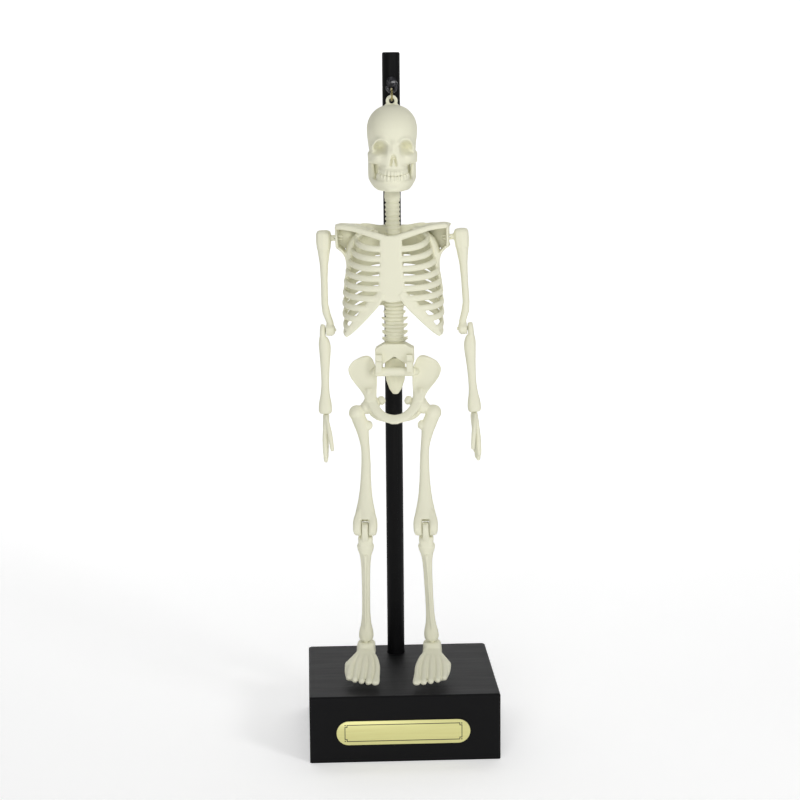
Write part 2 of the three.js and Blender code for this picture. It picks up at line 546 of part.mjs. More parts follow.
function femurSolid() {
  const l = THIGH;
  const shaft = loft([[-l + 2, 0, 0, 6.2, 3.5], [-l + 5, 0, 0, 5.9, 3.2], [-l + 9, 0, 0, 4.9, 2.7],
    [-l + 15, 0, 0, 3.7, 2.4], [-l + 24, 0, 0, 2.8, 2.4], [-28, 0.1, 0, 2.4, 2.4], [-21, 0.6, 0, 2.3, 2.5],
    [-14, 1.9, 0, 3, 2.8], [-9, 2.4, 0, 4.2, 3.2], [-5, 4.1, 0, 4.4, 3.3], [-1.5, 5.2, 0, 3.5, 3], [0.4, 5.1, 0, 1.8, 1.8]]);
  const neck = rod([5.2, 0, -2.6], [0.4, 0, 0], 2.6, 8, 2.4);
  const lesser = ball(-1.4, 0.4, -9.4, 1.7, 1.8, 2, 8, 6);
  const head = ball(0, 0, 0, 3.6, 3.6, 3.6, 8, 6);
  const peg = snapPeg(0, -10.6, 1.9).rotate([0, HIP_TILT, 0]);
  const knee = drum(6.5, 4.7).translate([0, 0, -l]);
  const slot = block(-1.9, 1.9, -9, 9, -l - 9, -l + 3.7);
  const hole = rod([-4, 0, -l], [4, 0, -l], 1.2 + GAP, 8);
  const lower = cut(join(shaft, knee.rotate([0, 0, KNEE_TWIST])), join(slot, hole).rotate([0, 0, KNEE_TWIST]));
  return join(lower, neck, head, lesser, peg);
}

function tibiaSolid() {
  const l = SHANK;
  const tongue = join(rod([-1.5, 0, 0], [1.5, 0, 0], 3.1, 10), block(-1.5, 1.5, -2.4, 2.4, -7, 0));
  const pin = rod([-3.4, 0, 0], [3.4, 0, 0], 1.2, 8);
  const lean = (z) => SHANK_LEAN * (z / -l) ** 1.5;
  const shaft = loft([[-l - 0.2, 2.6, 2.2], [-l + 2, 3.4, 3], [-l + 5, 3.9, 3], [-l + 10, 3, 2.6], [-l + 17, 2.2, 2.3],
    [-l + 30, 2.15, 2.4], [-24, 2.4, 2.7], [-17, 2.9, 3], [-13.4, 4.3, 3.4], [-10.4, 4.4, 3.5], [-9.4, 3.8, 3.2],
    [-5.2, 3.9, 2.8]].map(([z, halfX, halfY]) => [z, lean(z), 0, halfX, halfY]));
  const x = SHANK_LEAN;
  const below = block(-8, 8, -8, 8, -l - 6, -l + 3);
  const ankle = join(rod([x - 1.3, 0, -l], [x + 1.3, 0, -l], 2.2, 10), block(x - 1.3, x + 1.3, -1.9, 1.9, -l, -l + 4));
  const ankleHole = rod([x - 3, 0, -l], [x + 3, 0, -l], 0.8 + GAP, 8);
  return cut(join(cut(shaft, below), tongue, pin, ankle), ankleHole);
}

// A foot with its ankle fork at the origin, heel behind and five ridged toes fanned out in front.
function footSolid() {
  const sole = -9.8;
  const body = skin([[9, 0.4, 3.2, -5.6], [6.5, 0.3, 4, -4.2], [2.5, 0.2, 4.4, -3.2], [-3, 0, 4.9, -3.4],
    [-8, 0.4, 6.4, -4.4], [-14, 0.8, 8, -5.8], [-20, 0.6, 8.5, -6.9], [-26, 0.2, 8.4, -7.8], [-30, 0, 7.6, -8.2]]
    .map(([y, x, half, top]) => Array.from({ length: 10 }, (_, i) => {
      const [across, high] = ringPoint((2 * Math.PI * (i + 0.5)) / 10, half, (top - sole) / 2, 3);
      return vec(x + across, y, (top + sole) / 2 + high);
    })));
  const cup = loft([[-6, 0, 0, 4.5, 4.6], [-1, 0, 0, 4.4, 4], [2.2, 0, 0, 4, 2.8]]);
  const slot = block(-1.6, 1.6, -9, 6, -3.2, 6);
  const pin = rod([-2, 0, 0], [2, 0, 0], 0.8, 8);
  const toes = [-6.3, -3.1, 0.1, 3.3, 6.4].map((x, i) => {
    const reach = [-36, -35.6, -34.6, -33.2, -31.2][i];
    const path = through([x * 0.5, -5, -4.4], [x * 0.9, -12, -5.8], [x * 1.02, -22, -7.3],
      [x * 1.06, reach + 3, -8.1], [x * 1.02, reach, -8.6]);
    const wide = [1.9, 1.6, 1.55, 1.5, 1.5][i];
    return sweep(path, 5, (t) => [wide * (1 - 0.3 * t ** 4), 1.5 - 0.3 * t ** 4], 6);
  });
  return join(cut(join(body, cup), slot), pin, ...toes).intersect(block(-40, 40, -60, 30, sole, 30));
}

// ---------------------------------------------------------------- assembly

function piece(name, shape, material) {
  const mesh = new THREE.Mesh(geometryOf(shape), material);
  mesh.name = name;
  return mesh;
}

// A group whose origin is a joint. turn is its rest angle about the joint's axis, in degrees.
function jointAt(name, place, axis, turn, ...children) {
  const group = new THREE.Group();
  group.name = name;
  group.position.set(...place);
  group.quaternion.setFromAxisAngle(axis, radians(turn));
  group.add(...children);
  return group;
}

const X_AXIS = vec(1, 0, 0);
const Y_AXIS = vec(0, 1, 0);
const Z_AXIS = vec(0, 0, 1);

// side is 1 for the figure's left (x > 0) and -1 for its right.
function arm(side, label, lean) {
  const shape = (build) => (side > 0 ? build : mirrored(build));
  const hand = jointAt(`${label}_wrist`, [side * WRIST_X, 0, -FOREARM], Y_AXIS, 0,
    piece(`${label}_hand`, shape(handSolid()), bone));
  const elbow = jointAt(`${label}_elbow`, [0, 0, -UPPER_ARM], X_AXIS, -FOREARM_FORWARD,
    piece(`${label}_forearm`, shape(forearmSolid()), bone), hand);
  const place = [side * SHOULDER.x, SHOULDER.y, SHOULDER.z];
  const leaning = jointAt('', place, Y_AXIS, lean,
    jointAt(`${label}_shoulder`, [0, 0, 0], X_AXIS, 0, piece(`${label}_humerus`, shape(humerusSolid()), bone), elbow));
  return leaning;
}

function leg(side, label) {
  const shape = (build) => (side > 0 ? build : mirrored(build));
  const foot = jointAt(`${label}_ankle`, [side * SHANK_LEAN, 0, -SHANK], X_AXIS, THIGH_FORWARD - SHANK_BACK + FOOT_DROOP,
    piece(`${label}_foot`, shape(footSolid()), bone));
  const knee = jointAt(`${label}_knee`, [0, 0, 0], X_AXIS, SHANK_BACK,
    piece(`${label}_tibia`, shape(tibiaSolid()), bone), foot);
  const twisted = jointAt('', [0, 0, -THIGH], Z_AXIS, side * KNEE_TWIST, knee);
  const axis = vec(HIP_AXIS.x, 0, side * HIP_AXIS.z);
  return jointAt(`${label}_hip`, [side * HIP.x, HIP.y, HIP.z], axis, -THIGH_FORWARD,
    piece(`${label}_femur`, shape(femurSolid()), bone), twisted);
}

const stand = new THREE.Group();
stand.add(
  piece('base', baseSolid(), blackWood),
  piece('post', postSolid(), blackWood),
  piece('post_screw', screwSolid(), zincSteel),
  piece('hook', hookSolid(), blackSteel),
  piece('name_plate', plateSolid(), goldFoil),
  piece('hanging_ring', ringSolid(), brass),
);

const skull = skullSolid();
const head = new THREE.Group();
head.position.x = FIGURE_X;
head.add(
  piece('skull_front', skull.intersect(front()), bone),
  piece('skull_back', skull.intersect(rear()), bone),
  piece('jaw', jawSolid(), bone),
);

const body = new THREE.Group();
body.position.set(0, -SPINE_Y, -NECK_Z);
body.add(
  piece('spine', spineSolid(), bone),
  piece('rib_cage_front', ribCageFront(), bone),
  piece('rib_cage_back', ribCageBack(), bone),
  piece('pelvis', pelvisSolid(), bone),
  arm(-1, 'right', RIGHT_ARM_LEAN),
  arm(1, 'left', LEFT_ARM_LEAN),
  leg(-1, 'right'),
  leg(1, 'left'),
);
const neck = jointAt('neck', [0, 0, 0], Z_AXIS, BODY_TURN, body);
const rolled = jointAt('', [FIGURE_X, SPINE_Y, NECK_Z], Y_AXIS, BODY_ROLL, neck);

const skeleton = new THREE.Group();
skeleton.add(stand, head, rolled);

export default skeleton;
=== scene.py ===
"""Looks of a desk skeleton: moulded ivory bones hung on a black wooden stand."""

import json
import math

import bpy
import numpy as np
from mathutils import Matrix, Vector


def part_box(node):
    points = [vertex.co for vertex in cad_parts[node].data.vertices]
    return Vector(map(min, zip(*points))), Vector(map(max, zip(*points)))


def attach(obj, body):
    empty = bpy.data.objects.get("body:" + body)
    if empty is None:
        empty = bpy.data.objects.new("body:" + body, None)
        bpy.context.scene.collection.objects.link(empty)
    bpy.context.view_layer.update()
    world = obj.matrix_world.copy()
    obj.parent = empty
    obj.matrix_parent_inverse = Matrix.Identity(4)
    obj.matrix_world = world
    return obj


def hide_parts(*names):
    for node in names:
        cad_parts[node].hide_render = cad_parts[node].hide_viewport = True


bl_info = {
    "name": "Desk skeleton on a stand",
    "version": (1, 0, 0),
    "blender": (4, 5, 0),
    "location": "View3D > Sidebar > Skeleton",
    "description": "Moulded plastic bones, painted wooden stand, brass ring and foil plate",
    "category": "Object",
}

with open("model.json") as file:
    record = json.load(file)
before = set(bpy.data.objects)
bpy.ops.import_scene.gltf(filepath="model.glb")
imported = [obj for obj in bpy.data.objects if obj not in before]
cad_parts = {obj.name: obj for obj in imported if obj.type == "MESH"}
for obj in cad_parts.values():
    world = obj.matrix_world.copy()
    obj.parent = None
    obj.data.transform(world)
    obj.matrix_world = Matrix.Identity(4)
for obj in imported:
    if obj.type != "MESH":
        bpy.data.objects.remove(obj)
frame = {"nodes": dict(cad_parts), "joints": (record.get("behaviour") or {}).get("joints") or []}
NODES = frame["nodes"]
MM = 0.001


# ---------------------------------------------------------------- shader maths


class Socket:
    """One value in a node tree. Arithmetic on it adds Math nodes."""

    def __init__(self, tree, link):
        self.tree = tree
        self.link = link

    def _math(self, operation, first, second=None, third=None):
        values = [v for v in (first, second, third) if v is not None]
        return self.tree.node("ShaderNodeMath", {"operation": operation}, *values)

    def __add__(self, other):
        return self._math("ADD", self, other)

    def __radd__(self, other):
        return self._math("ADD", other, self)

    def __sub__(self, other):
        return self._math("SUBTRACT", self, other)

    def __rsub__(self, other):
        return self._math("SUBTRACT", other, self)

    def __mul__(self, other):
        return self._math("MULTIPLY", self, other)

    def __rmul__(self, other):
        return self._math("MULTIPLY", other, self)

    def __truediv__(self, other):
        return self._math("DIVIDE", self, other)

    def __abs__(self):
        return self._math("ABSOLUTE", self)

    def smooth(self, low, high):
        """0 below low, 1 above high and an eased step between them."""
        settings = {"interpolation_type": "SMOOTHSTEP"}
        return self.tree.node("ShaderNodeMapRange", settings, self, low, high)

    def least(self, other):
        return self._math("MINIMUM", self, other)

    def most(self, other):
        return self._math("MAXIMUM", self, other)


class Finish:
    """A material's node tree with one method that adds a node and links its sockets."""

    def __init__(self, name, **constants):
        self.material = bpy.data.materials.new(name)
        self.material.use_nodes = True
        self.nodes = self.material.node_tree.nodes
        self.links = self.material.node_tree.links
        self.shader = self.nodes["Principled BSDF"]
        for socket, value in constants.items():
            self.shader.inputs[socket.replace("_", " ")].default_value = value
        self.place = self.node("ShaderNodeTexCoord", {}, output="Object")

    def node(self, kind, settings, *values, output=0, **named):
        made = self.nodes.new(kind)
        for key, value in settings.items():
            setattr(made, key, value)
        for socket, value in list(enumerate(values)) + list(named.items()):
            self._feed(made.inputs[socket], value)
        return Socket(self, made.outputs[output])

    def _feed(self, socket, value):
        if isinstance(value, Socket):
            self.links.new(value.link, socket)
        else:
            socket.default_value = value

    def feed(self, **values):
        for socket, value in values.items():
            self._feed(self.shader.inputs[socket.replace("_", " ")], value)

    def mix(self, amount, first, second):
        """Colour between first and second."""
        mixed = self.nodes.new("ShaderNodeMix")
        mixed.data_type = "RGBA"
        for socket, value in ((0, amount), (6, first), (7, second)):
            self._feed(mixed.inputs[socket], value)
        return Socket(self, mixed.outputs[2])

    def noise(self, scale, detail=3.0, roughness=0.55, stretch=(1, 1, 1)):
        """Fractal noise on the piece's own coordinates; scale is in patches per metre."""
        spread = self.node("ShaderNodeMapping", {}, self.place, Scale=stretch)
        return self.node("ShaderNodeTexNoise", {}, spread, Scale=scale, Detail=detail, Roughness=roughness)

    def bump(self, height, distance, strength=1.0):
        return self.node("ShaderNodeBump", {}, Strength=strength, Distance=distance, Height=height)

    def split(self):
        """The x, y and z of the piece's own coordinates."""
        parts = self.nodes.new("ShaderNodeSeparateXYZ")
        self.links.new(self.place.link, parts.inputs[0])
        return [Socket(self, parts.outputs[axis]) for axis in range(3)]


def linear(red, green, blue):
    """Linear colour from the 0 to 255 numbers of a screen colour."""
    def channel(value):
        share = value / 255
        return share / 12.92 if share <= 0.04045 else ((share + 0.055) / 1.055) ** 2.4

    return (channel(red), channel(green), channel(blue), 1.0)


def moulded_bone(look):
    """Semi-gloss ivory plastic: faint clouding, a warmer tone low down in the clouds, fine orange peel."""
    finish = Finish("bone_plastic", Roughness=0.38, Specular_IOR_Level=0.5, Coat_Weight=0.1,
                    Coat_Roughness=0.25, Subsurface_Weight=0.03, Subsurface_Scale=0.001)
    clouds = finish.noise(120, 2.0)
    mottle = finish.noise(900, 3.0)
    tone = (0.85 * clouds + 0.15 * mottle).smooth(0.2, 0.75)
    finish.feed(Base_Color=finish.mix(tone, tuple(look.bone_shade) + (1,), tuple(look.bone_light) + (1,)))
    finish.feed(Roughness=0.3 + 0.12 * mottle)
    peel = finish.noise(1400, 2.0)
    finish.feed(Normal=finish.bump(peel + 0.6 * finish.noise(350, 1.0), 0.00006, 0.35))
    return finish.material


def painted_wood(look):
    """Satin black paint over close-grained wood: long faint grain and dust."""
    finish = Finish("black_wood", Specular_IOR_Level=0.1)
    grain = finish.noise(260, 4.0, 0.6, (0.12, 1, 1))
    specks = finish.noise(2600, 2.0)
    dust = specks.smooth(0.66, 0.8)
    tone = finish.mix(0.25 * grain + 0.4 * dust, tuple(look.paint) + (1,), (0.012, 0.012, 0.0125, 1))
    finish.feed(Base_Color=tone, Roughness=0.44 + 0.16 * grain)
    finish.feed(Normal=finish.bump(grain + 0.4 * specks, 0.00012, 0.35))
    return finish.material


def blackened_steel():
    """Black-finished wire with a little bright wear."""
    finish = Finish("black_steel", Metallic=0.6)
    wear = finish.noise(1500, 3.0).smooth(0.6, 0.75)
    finish.feed(Base_Color=finish.mix(wear, (0.025, 0.025, 0.03, 1), (0.2, 0.2, 0.21, 1)),
                Roughness=0.3 + 0.2 * wear)
    return finish.material


def zinc_plate():
    """Bright zinc with a slight cloudy passivation."""
    finish = Finish("zinc_steel", Metallic=1.0)
    cloud = finish.noise(700, 3.0)
    finish.feed(Base_Color=finish.mix(cloud, (0.5, 0.51, 0.5, 1), (0.72, 0.72, 0.66, 1)),
                Roughness=0.28 + 0.2 * cloud)
    return finish.material


def polished_brass():
    """Brass wire, bright with faint tarnish."""
    finish = Finish("brass", Metallic=1.0)
    tarnish = finish.noise(1200, 3.0).smooth(0.45, 0.7)
    finish.feed(Base_Color=finish.mix(tarnish, (0.5, 0.43, 0.18, 1), (0.26, 0.21, 0.08, 1)),
                Roughness=0.26 + 0.2 * tarnish)
    return finish.material


def near_line(distance, half):
    """1 on a line of the given half width and 0 beside it."""
    return 1 - abs(distance).smooth(half * 0.7, half * 1.3)


def printed_foil(look):
    """Pale gold foil with a thin black double-corner border and no words: a rectangle whose corners
    step inward."""
    finish = Finish("gold_foil", Metallic=0.35, Specular_IOR_Level=0.5)
    low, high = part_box("name_plate")
    x, _, z = finish.split()
    across = abs(x - (low.x + high.x) / 2)
    upward = abs(z - (low.z + high.z) / 2)
    half_long, half_high, notch = 30.6 * MM, 4.4 * MM, 1.1 * MM
    edge = (across - half_long).most(upward - half_high)
    corner = (across - (half_long - notch)).least(upward - (half_high - notch))
    frame_line = near_line(edge.most(corner), 0.2 * MM)
    dot_x = across - (half_long - 0.1 * MM)
    dot_z = upward - (half_high - 0.1 * MM)
    dot = 1 - (dot_x * dot_x + dot_z * dot_z).smooth((0.25 * MM) ** 2, (0.4 * MM) ** 2)
    ink = frame_line.most(dot)
    brushed = finish.noise(900, 3.0, 0.6, (0.05, 1, 1))
    foil = finish.mix(brushed, tuple(look.foil) + (1,), linear(226, 224, 156))
    finish.feed(Base_Color=finish.mix(ink, foil, (0.01, 0.01, 0.01, 1)), Roughness=0.32 + 0.1 * brushed)
    return finish.material


def pale_floor():
    """Matt white sweep that glows a little, like a lit table."""
    finish = Finish("studio_floor", Roughness=0.9, Specular_IOR_Level=0.1, Emission_Color=(1, 1, 1, 1),
                    Emission_Strength=0.32)
    finish.feed(Base_Color=finish.mix(finish.noise(3, 2.0), (0.9, 0.9, 0.9, 1), (0.93, 0.93, 0.93, 1)))
    return finish.material


# ---------------------------------------------------------------- meshes


def dress(piece, material, smooth=True):
    """Gives a piece one material and one kind of shading."""
    piece.data.materials.clear()
    piece.data.materials.append(material)
    piece.data.polygons.foreach_set("use_smooth", np.full(len(piece.data.polygons), smooth))
    piece.data.polygons.foreach_set("material_index", np.zeros(len(piece.data.polygons), np.int32))


def soften(piece, voxel, passes):
    """Melts a faceted solid into a moulded skin: even voxels, then their corners relaxed."""
    cells = piece.modifiers.new("even", "REMESH")
    cells.mode = "VOXEL"
    cells.voxel_size = voxel
    cells.adaptivity = 0
    cells.use_smooth_shade = True
    relaxed = piece.modifiers.new("relaxed", "SMOOTH")
    relaxed.factor = 0.5
    relaxed.iterations = passes


def round_edges(piece, width, segments=3):
    """Welds the solid's loose triangles and rounds its sharp edges."""
    weld = piece.modifiers.new("weld", "WELD")
    weld.merge_threshold = 1e-6
    bevel = piece.modifiers.new("rounded", "BEVEL")
    bevel.width = width
    bevel.segments = segments
    bevel.limit_method = "ANGLE"
    bevel.angle_limit = math.radians(30)
    bevel.harden_normals = True


# ---------------------------------------------------------------- surfaces
# A surface is an array of rings of points in millimetres, in the frame of the bone it belongs to.


def smooth_rows(keys, count):
    """count rows along the Catmull-Rom spline through the rows of keys."""
    keys = np.asarray(keys, float)
    last = len(keys) - 1
    place = np.linspace(0, last, count)
    index = np.minimum(place.astype(int), last - 1)
    part = (place - index)[:, None]
    ends = np.vstack([2 * keys[0] - keys[1], keys, 2 * keys[-1] - keys[-2]])
    a, b, c, d = (ends[index + step] for step in range(4))
    return b + 0.5 * part * (c - a + part * (2 * a - 5 * b + 4 * c - d + part * (3 * (b - c) + d - a)))


def unit(vectors):
    return vectors / np.linalg.norm(vectors, axis=-1, keepdims=True)


def outline(sides, power=2.0):
    """Points of the superellipse |x|^p + |y|^p = 1, evenly turned."""
    turn = np.linspace(0, 2 * math.pi, sides, endpoint=False)
    cos, sin = np.cos(turn), np.sin(turn)
    bend = 2 / power
    return np.sign(cos) * np.abs(cos) ** bend, np.sign(sin) * np.abs(sin) ** bend


def tube(keys, up=(0, 0, 1), sides=20, count=48, power=2.0):
    """An oval carried along a path. Each key is x, y, z, half width across and half height toward up."""
    rows = smooth_rows(keys, count)
    centre = rows[:, :3]
    along = unit(np.gradient(centre, axis=0))
    across = unit(np.cross(up, along))
    high = np.cross(along, across)
    wide, tall = outline(sides, power)
    return (centre[:, None] + across[:, None] * (rows[:, 3, None] * wide)[..., None]
            + high[:, None] * (rows[:, 4, None] * tall)[..., None])


def stack(keys, sides=40, count=60, power=2.0):
    """Level ovals one above the other. Each key is z, centre x, centre y, half width and half depth."""
    z, x, y, wide, deep = smooth_rows(keys, count).T[:5]
    round_x, round_y = outline(sides, power)
    return np.stack([x[:, None] + wide[:, None] * round_x, y[:, None] + deep[:, None] * round_y,
                     np.repeat(z[:, None], sides, 1)], -1)


def ball(x, y, z, rx, ry, rz, rings=20):
    """An oval ball: level circles whose radius and height follow a half turn."""
    turn = np.linspace(-math.pi / 2, math.pi / 2, rings + 2)[1:-1]
    keys = np.column_stack([z + rz * np.sin(turn), np.full(rings, x), np.full(rings, y),
                            rx * np.cos(turn), ry * np.cos(turn)])
    return stack(keys, 28, rings)


def bump(values, centre, width, power=2):
    """A hill of height 1 at centre that falls off as exp(-(distance / width) ** power)."""
    return np.exp(-(np.abs(values - centre) / width) ** power)


def flipped(surface):
    """The same surface on the other side of the body."""
    return (surface * (-1, 1, 1))[:, ::-1]


def both(*surfaces):
    return list(surfaces) + [flipped(s) for s in surfaces]


def closed_mesh(surfaces):
    """Points and faces of closed skins: four-sided cells between rings and a fan over each end."""
    points, faces, start = [], [], 0
    for rings in surfaces:
        rows, sides = rings.shape[:2]
        cell = np.arange((rows - 1) * sides).reshape(rows - 1, sides)
        beside = np.roll(cell, -1, 1)
        quads = np.stack([cell, beside, beside + sides, cell + sides], -1).reshape(-1, 4)
        side = np.arange(sides)
        after = np.roll(side, -1)
        top = (rows - 1) * sides
        low = np.stack([after, side, np.full(sides, rows * sides)], -1)
        high = np.stack([top + side, top + after, np.full(sides, rows * sides + 1)], -1)
        corners = np.vstack([rings.reshape(-1, 3), rings[0].mean(0), rings[-1].mean(0)])
        points.append(corners)
        a, b, c = (corners[quads[:, i]] for i in range(3))
        inward = np.einsum("ij,ij->", np.cross(b - a, c - a), a - corners.mean(0)) < 0
        for block in (quads, low, high):
            faces += ((block[:, ::-1] if inward else block) + start).tolist()
        start += len(corners)
    return np.vstack(points), faces


def new_piece(name, surfaces, place, body, *nodes):
    """Puts closed skins into the row frame as one object that stands for the given solids."""
    points, faces = closed_mesh(surfaces)
    axes, origin = place
    mesh = bpy.data.meshes.new(name)
    mesh.from_pydata((points @ axes * MM + origin).tolist(), [], faces)
    piece = bpy.data.objects.new(name, mesh)
    bpy.context.scene.collection.objects.link(piece)
    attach(piece, body)
    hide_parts(*nodes)
    return piece


# ---------------------------------------------------------------- frames of the bones
# A frame is three axes as rows, and an origin in metres.

JOINTS = {joint["name"]: joint for joint in frame["joints"]}


def pivot(name):
    return np.array(JOINTS[name]["pos_m"])


def axis(name):
    return unit(np.array(JOINTS[name]["axis"]))


def turned(vector, about, degrees):
    """The vector turned about an axis at right angles to it."""
    turn = math.radians(degrees)
    return vector * math.cos(turn) + np.cross(about, vector) * math.sin(turn)


def head_frame():
    return np.eye(3), np.array([pivot("jaw_open")[0], 0, 0])


def body_frame():
    """The trunk's own frame, whose neck pivot is 6 mm behind and 300 mm above its origin."""
    x, z = axis("pelvis_tilt"), -axis("neck_turn")
    axes = np.array([x, np.cross(z, x), z])
    return axes, pivot("neck_turn") - np.array([0, 6, 300]) @ axes * MM


def shank_frame(side):
    x = axis(f"{side}_knee_bend")
    down = pivot(f"{side}_ankle_bend") - pivot(f"{side}_knee_bend")
    z = -unit(down - x * (down @ x))
    return np.array([x, np.cross(z, x), z]), pivot(f"{side}_knee_bend")


def thigh_frame(side, twist):
    """The knee's axis is turned by twist degrees about the thigh's own upright."""
    top, knee = pivot(f"{side}_hip_swing"), pivot(f"{side}_knee_bend")
    z = unit(top - knee)
    x = turned(axis(f"{side}_knee_bend"), z, -twist)
    return np.array([x, np.cross(z, x), z]), top


def forearm_frame(side, at):
    x, y = axis(f"{side}_elbow_bend"), axis(f"{side}_wrist_bend")
    return np.array([x, y, np.cross(x, y)]), pivot(at)


def foot_frame(side):
    axes, _ = shank_frame(side)
    x = axes[0]
    z = turned(axes[2], x, -FOOT_TIP)
    return np.array([x, np.cross(z, x), z]), pivot(f"{side}_ankle_bend")


# ---------------------------------------------------------------- bones

SEAM_Y = 3.4  # the parting line of the skull's halves, seen above SEAM_FROM
SEAM_FROM = 309
CHEEK_HALF = 13.8  # half width over the cheekbones
THIGH = 63.4  # hip to knee and knee to ankle
SHANK = 68.6
KNEE_TWIST = 6.9  # degrees between a thigh and its knee's axis
FOOT_TIP = 7.4  # degrees that a foot is tipped from square to its shin
LEFT_HAND_TWIST = 18  # degrees that the left hand turns about its forearm
SKULL_LEVELS = [  # z, half width, front and back
    (303.6, 3.0, -13.2, -7), (303.9, 6.4, -14.8, -5), (305.5, 7.1, -15.1, -3.5), (307.4, 7.6, -15.0, 1),
    (309.3, 8.2, -14.9, 10), (311.2, 9.6, -14.8, 14.6), (314.0, 11.4, -14.9, 16.4),
    (317.6, 12.2, -15.0, 17.1), (321.4, 12.7, -15.2, 17.3), (325, 13.05, -15.2, 17.1),
    (328.6, 13.05, -14.7, 16.3), (332.2, 12.2, -13.3, 14.8), (335.4, 10.3, -11.0, 12.2),
    (337.9, 7.5, -7.8, 8.9), (339.3, 4.2, -4.2, 5.2), (339.8, 1.0, -0.8, 1.6)]


def skull_surface():
    """A stack of squarish ovals whose front is pushed in at the orbits, nose and cheeks and out at the brow,
    nasal bridge, cheekbones and arches; the two halves are parted by a seam."""
    levels = smooth_rows(SKULL_LEVELS, 330)
    z, half, front, back = (column[:, None] for column in levels.T)
    round_x, round_y = outline(290, 2.25)
    x = half * round_x
    y = (front + back) / 2 + (back - front) / 2 * round_y
    z = z + 0 * x
    side = np.abs(x)
    face = 1 / (1 + np.exp((y + 7.5) * 0.9))
    beside = np.clip(side / half, 0, 1) ** 4
    arch = 321.2 - 0.14 * (side - 6.6) ** 2
    orbit = bump(side, 6.7, 3.1, 5) / (1 + np.exp((z - arch) * 3.6)) / (1 + np.exp((314.9 - z) * 1.3))
    inner = bump(side, 6.3, 2.1) * bump(z, 318.7, 1.9)
    below = np.clip(314.8 - z, 0, 7)
    slot = bump(side, 0.3 + 0.19 * below, 0.42) * bump(z, 311.4, 2.8, 6)
    nose = bump(side, 0, 0.9 + 0.3 * below, 4) * bump(z, 311.4, 3.2, 4)
    deep = 4.2 * orbit + 4.2 * inner + 0.5 * nose + 2.6 * slot
    deep += 1.5 * bump(side, 7.8, 2.0) * bump(z, 308.8, 1.6)
    deep -= 1.2 * bump(side, 0, 1.5) * bump(z, 318.0, 3.6, 4)
    deep -= 1.1 * bump(side, 6.6, 4.6, 4) * bump(z, arch + 1.4, 1.1)
    deep -= 2.1 * bump(side, 10.0, 3.2, 4) * bump(z, 312.4, 2.6, 6)
    deep += 0.4 * bump(z, 307.3, 0.5)
    y = y + deep * face
    out = (CHEEK_HALF - half) * bump(z, 312.7, 3.3, 8) * bump(y, -8.0, 7.0, 4)
    out += 0.7 * bump(z, 317.4, 1.6) * bump(y, -8, 5, 4)
    out -= 1.1 * bump(z, 321.6, 2.2) * bump(y, -8.4, 3.6)
    x = x + np.sign(x) * out * beside
    seam = 1 - 0.028 * bump(y, SEAM_Y, 0.3, 4) * (z > SEAM_FROM)
    x = x * seam
    z = 320 + (z - 320) * seam
    return np.stack([x, y, z], -1)


def hanging_lug():
    """A flat ring on a foot: an oval carried round a circle, closed on itself by overlapping ends."""
    turn = np.linspace(0, 2 * math.pi, 60)
    keys = np.column_stack([2.25 * np.sin(turn), np.full(60, 1.0), 341.7 - 2.25 * np.cos(turn),
                            np.full(60, 0.9), np.full(60, 0.92)])
    foot = stack([(337.5, 0, 1, 4.6, 1.3), (339.4, 0, 1, 3.9, 1.05), (340.2, 0, 1, 3.2, 0.9)], 24, 12, 3)
    return [tube(keys, (0, 1, 0), 20, 90, 3), foot]


def tooth_row(count, wide, deep, height, z, rise):
    """Separate rounded teeth round half an oval; the row climbs by rise toward its ends."""
    teeth = []
    for turn in np.radians(np.linspace(-165, -15, count)):
        x, y = wide * math.cos(turn), -6 + deep * math.sin(turn)
        middle = z + rise * math.cos(turn) ** 2
        half = 0.72 + 0.12 * abs(math.sin(turn))
        teeth.append(stack([(middle + height * level, x, y, half * taper, depth) for level, taper, depth in
                            ((-1, 0.7, 0.7), (-0.5, 1, 0.95), (0.5, 1, 0.95), (1, 0.8, 0.8))], 16, 14, 3))
    return teeth


def palate_wings():
    """Two upright plates behind the cheeks that close the view between the upper jaw and the ramus."""
    return both(stack([(300.2, 7.8, 1.8, 1.2, 0.9), (302, 8.0, 1.8, 1.4, 1.2), (309, 8.0, 1.8, 1.5, 1.8),
                       (312.5, 7.6, 1.8, 1.8, 2.4)], 28, 30, 3))


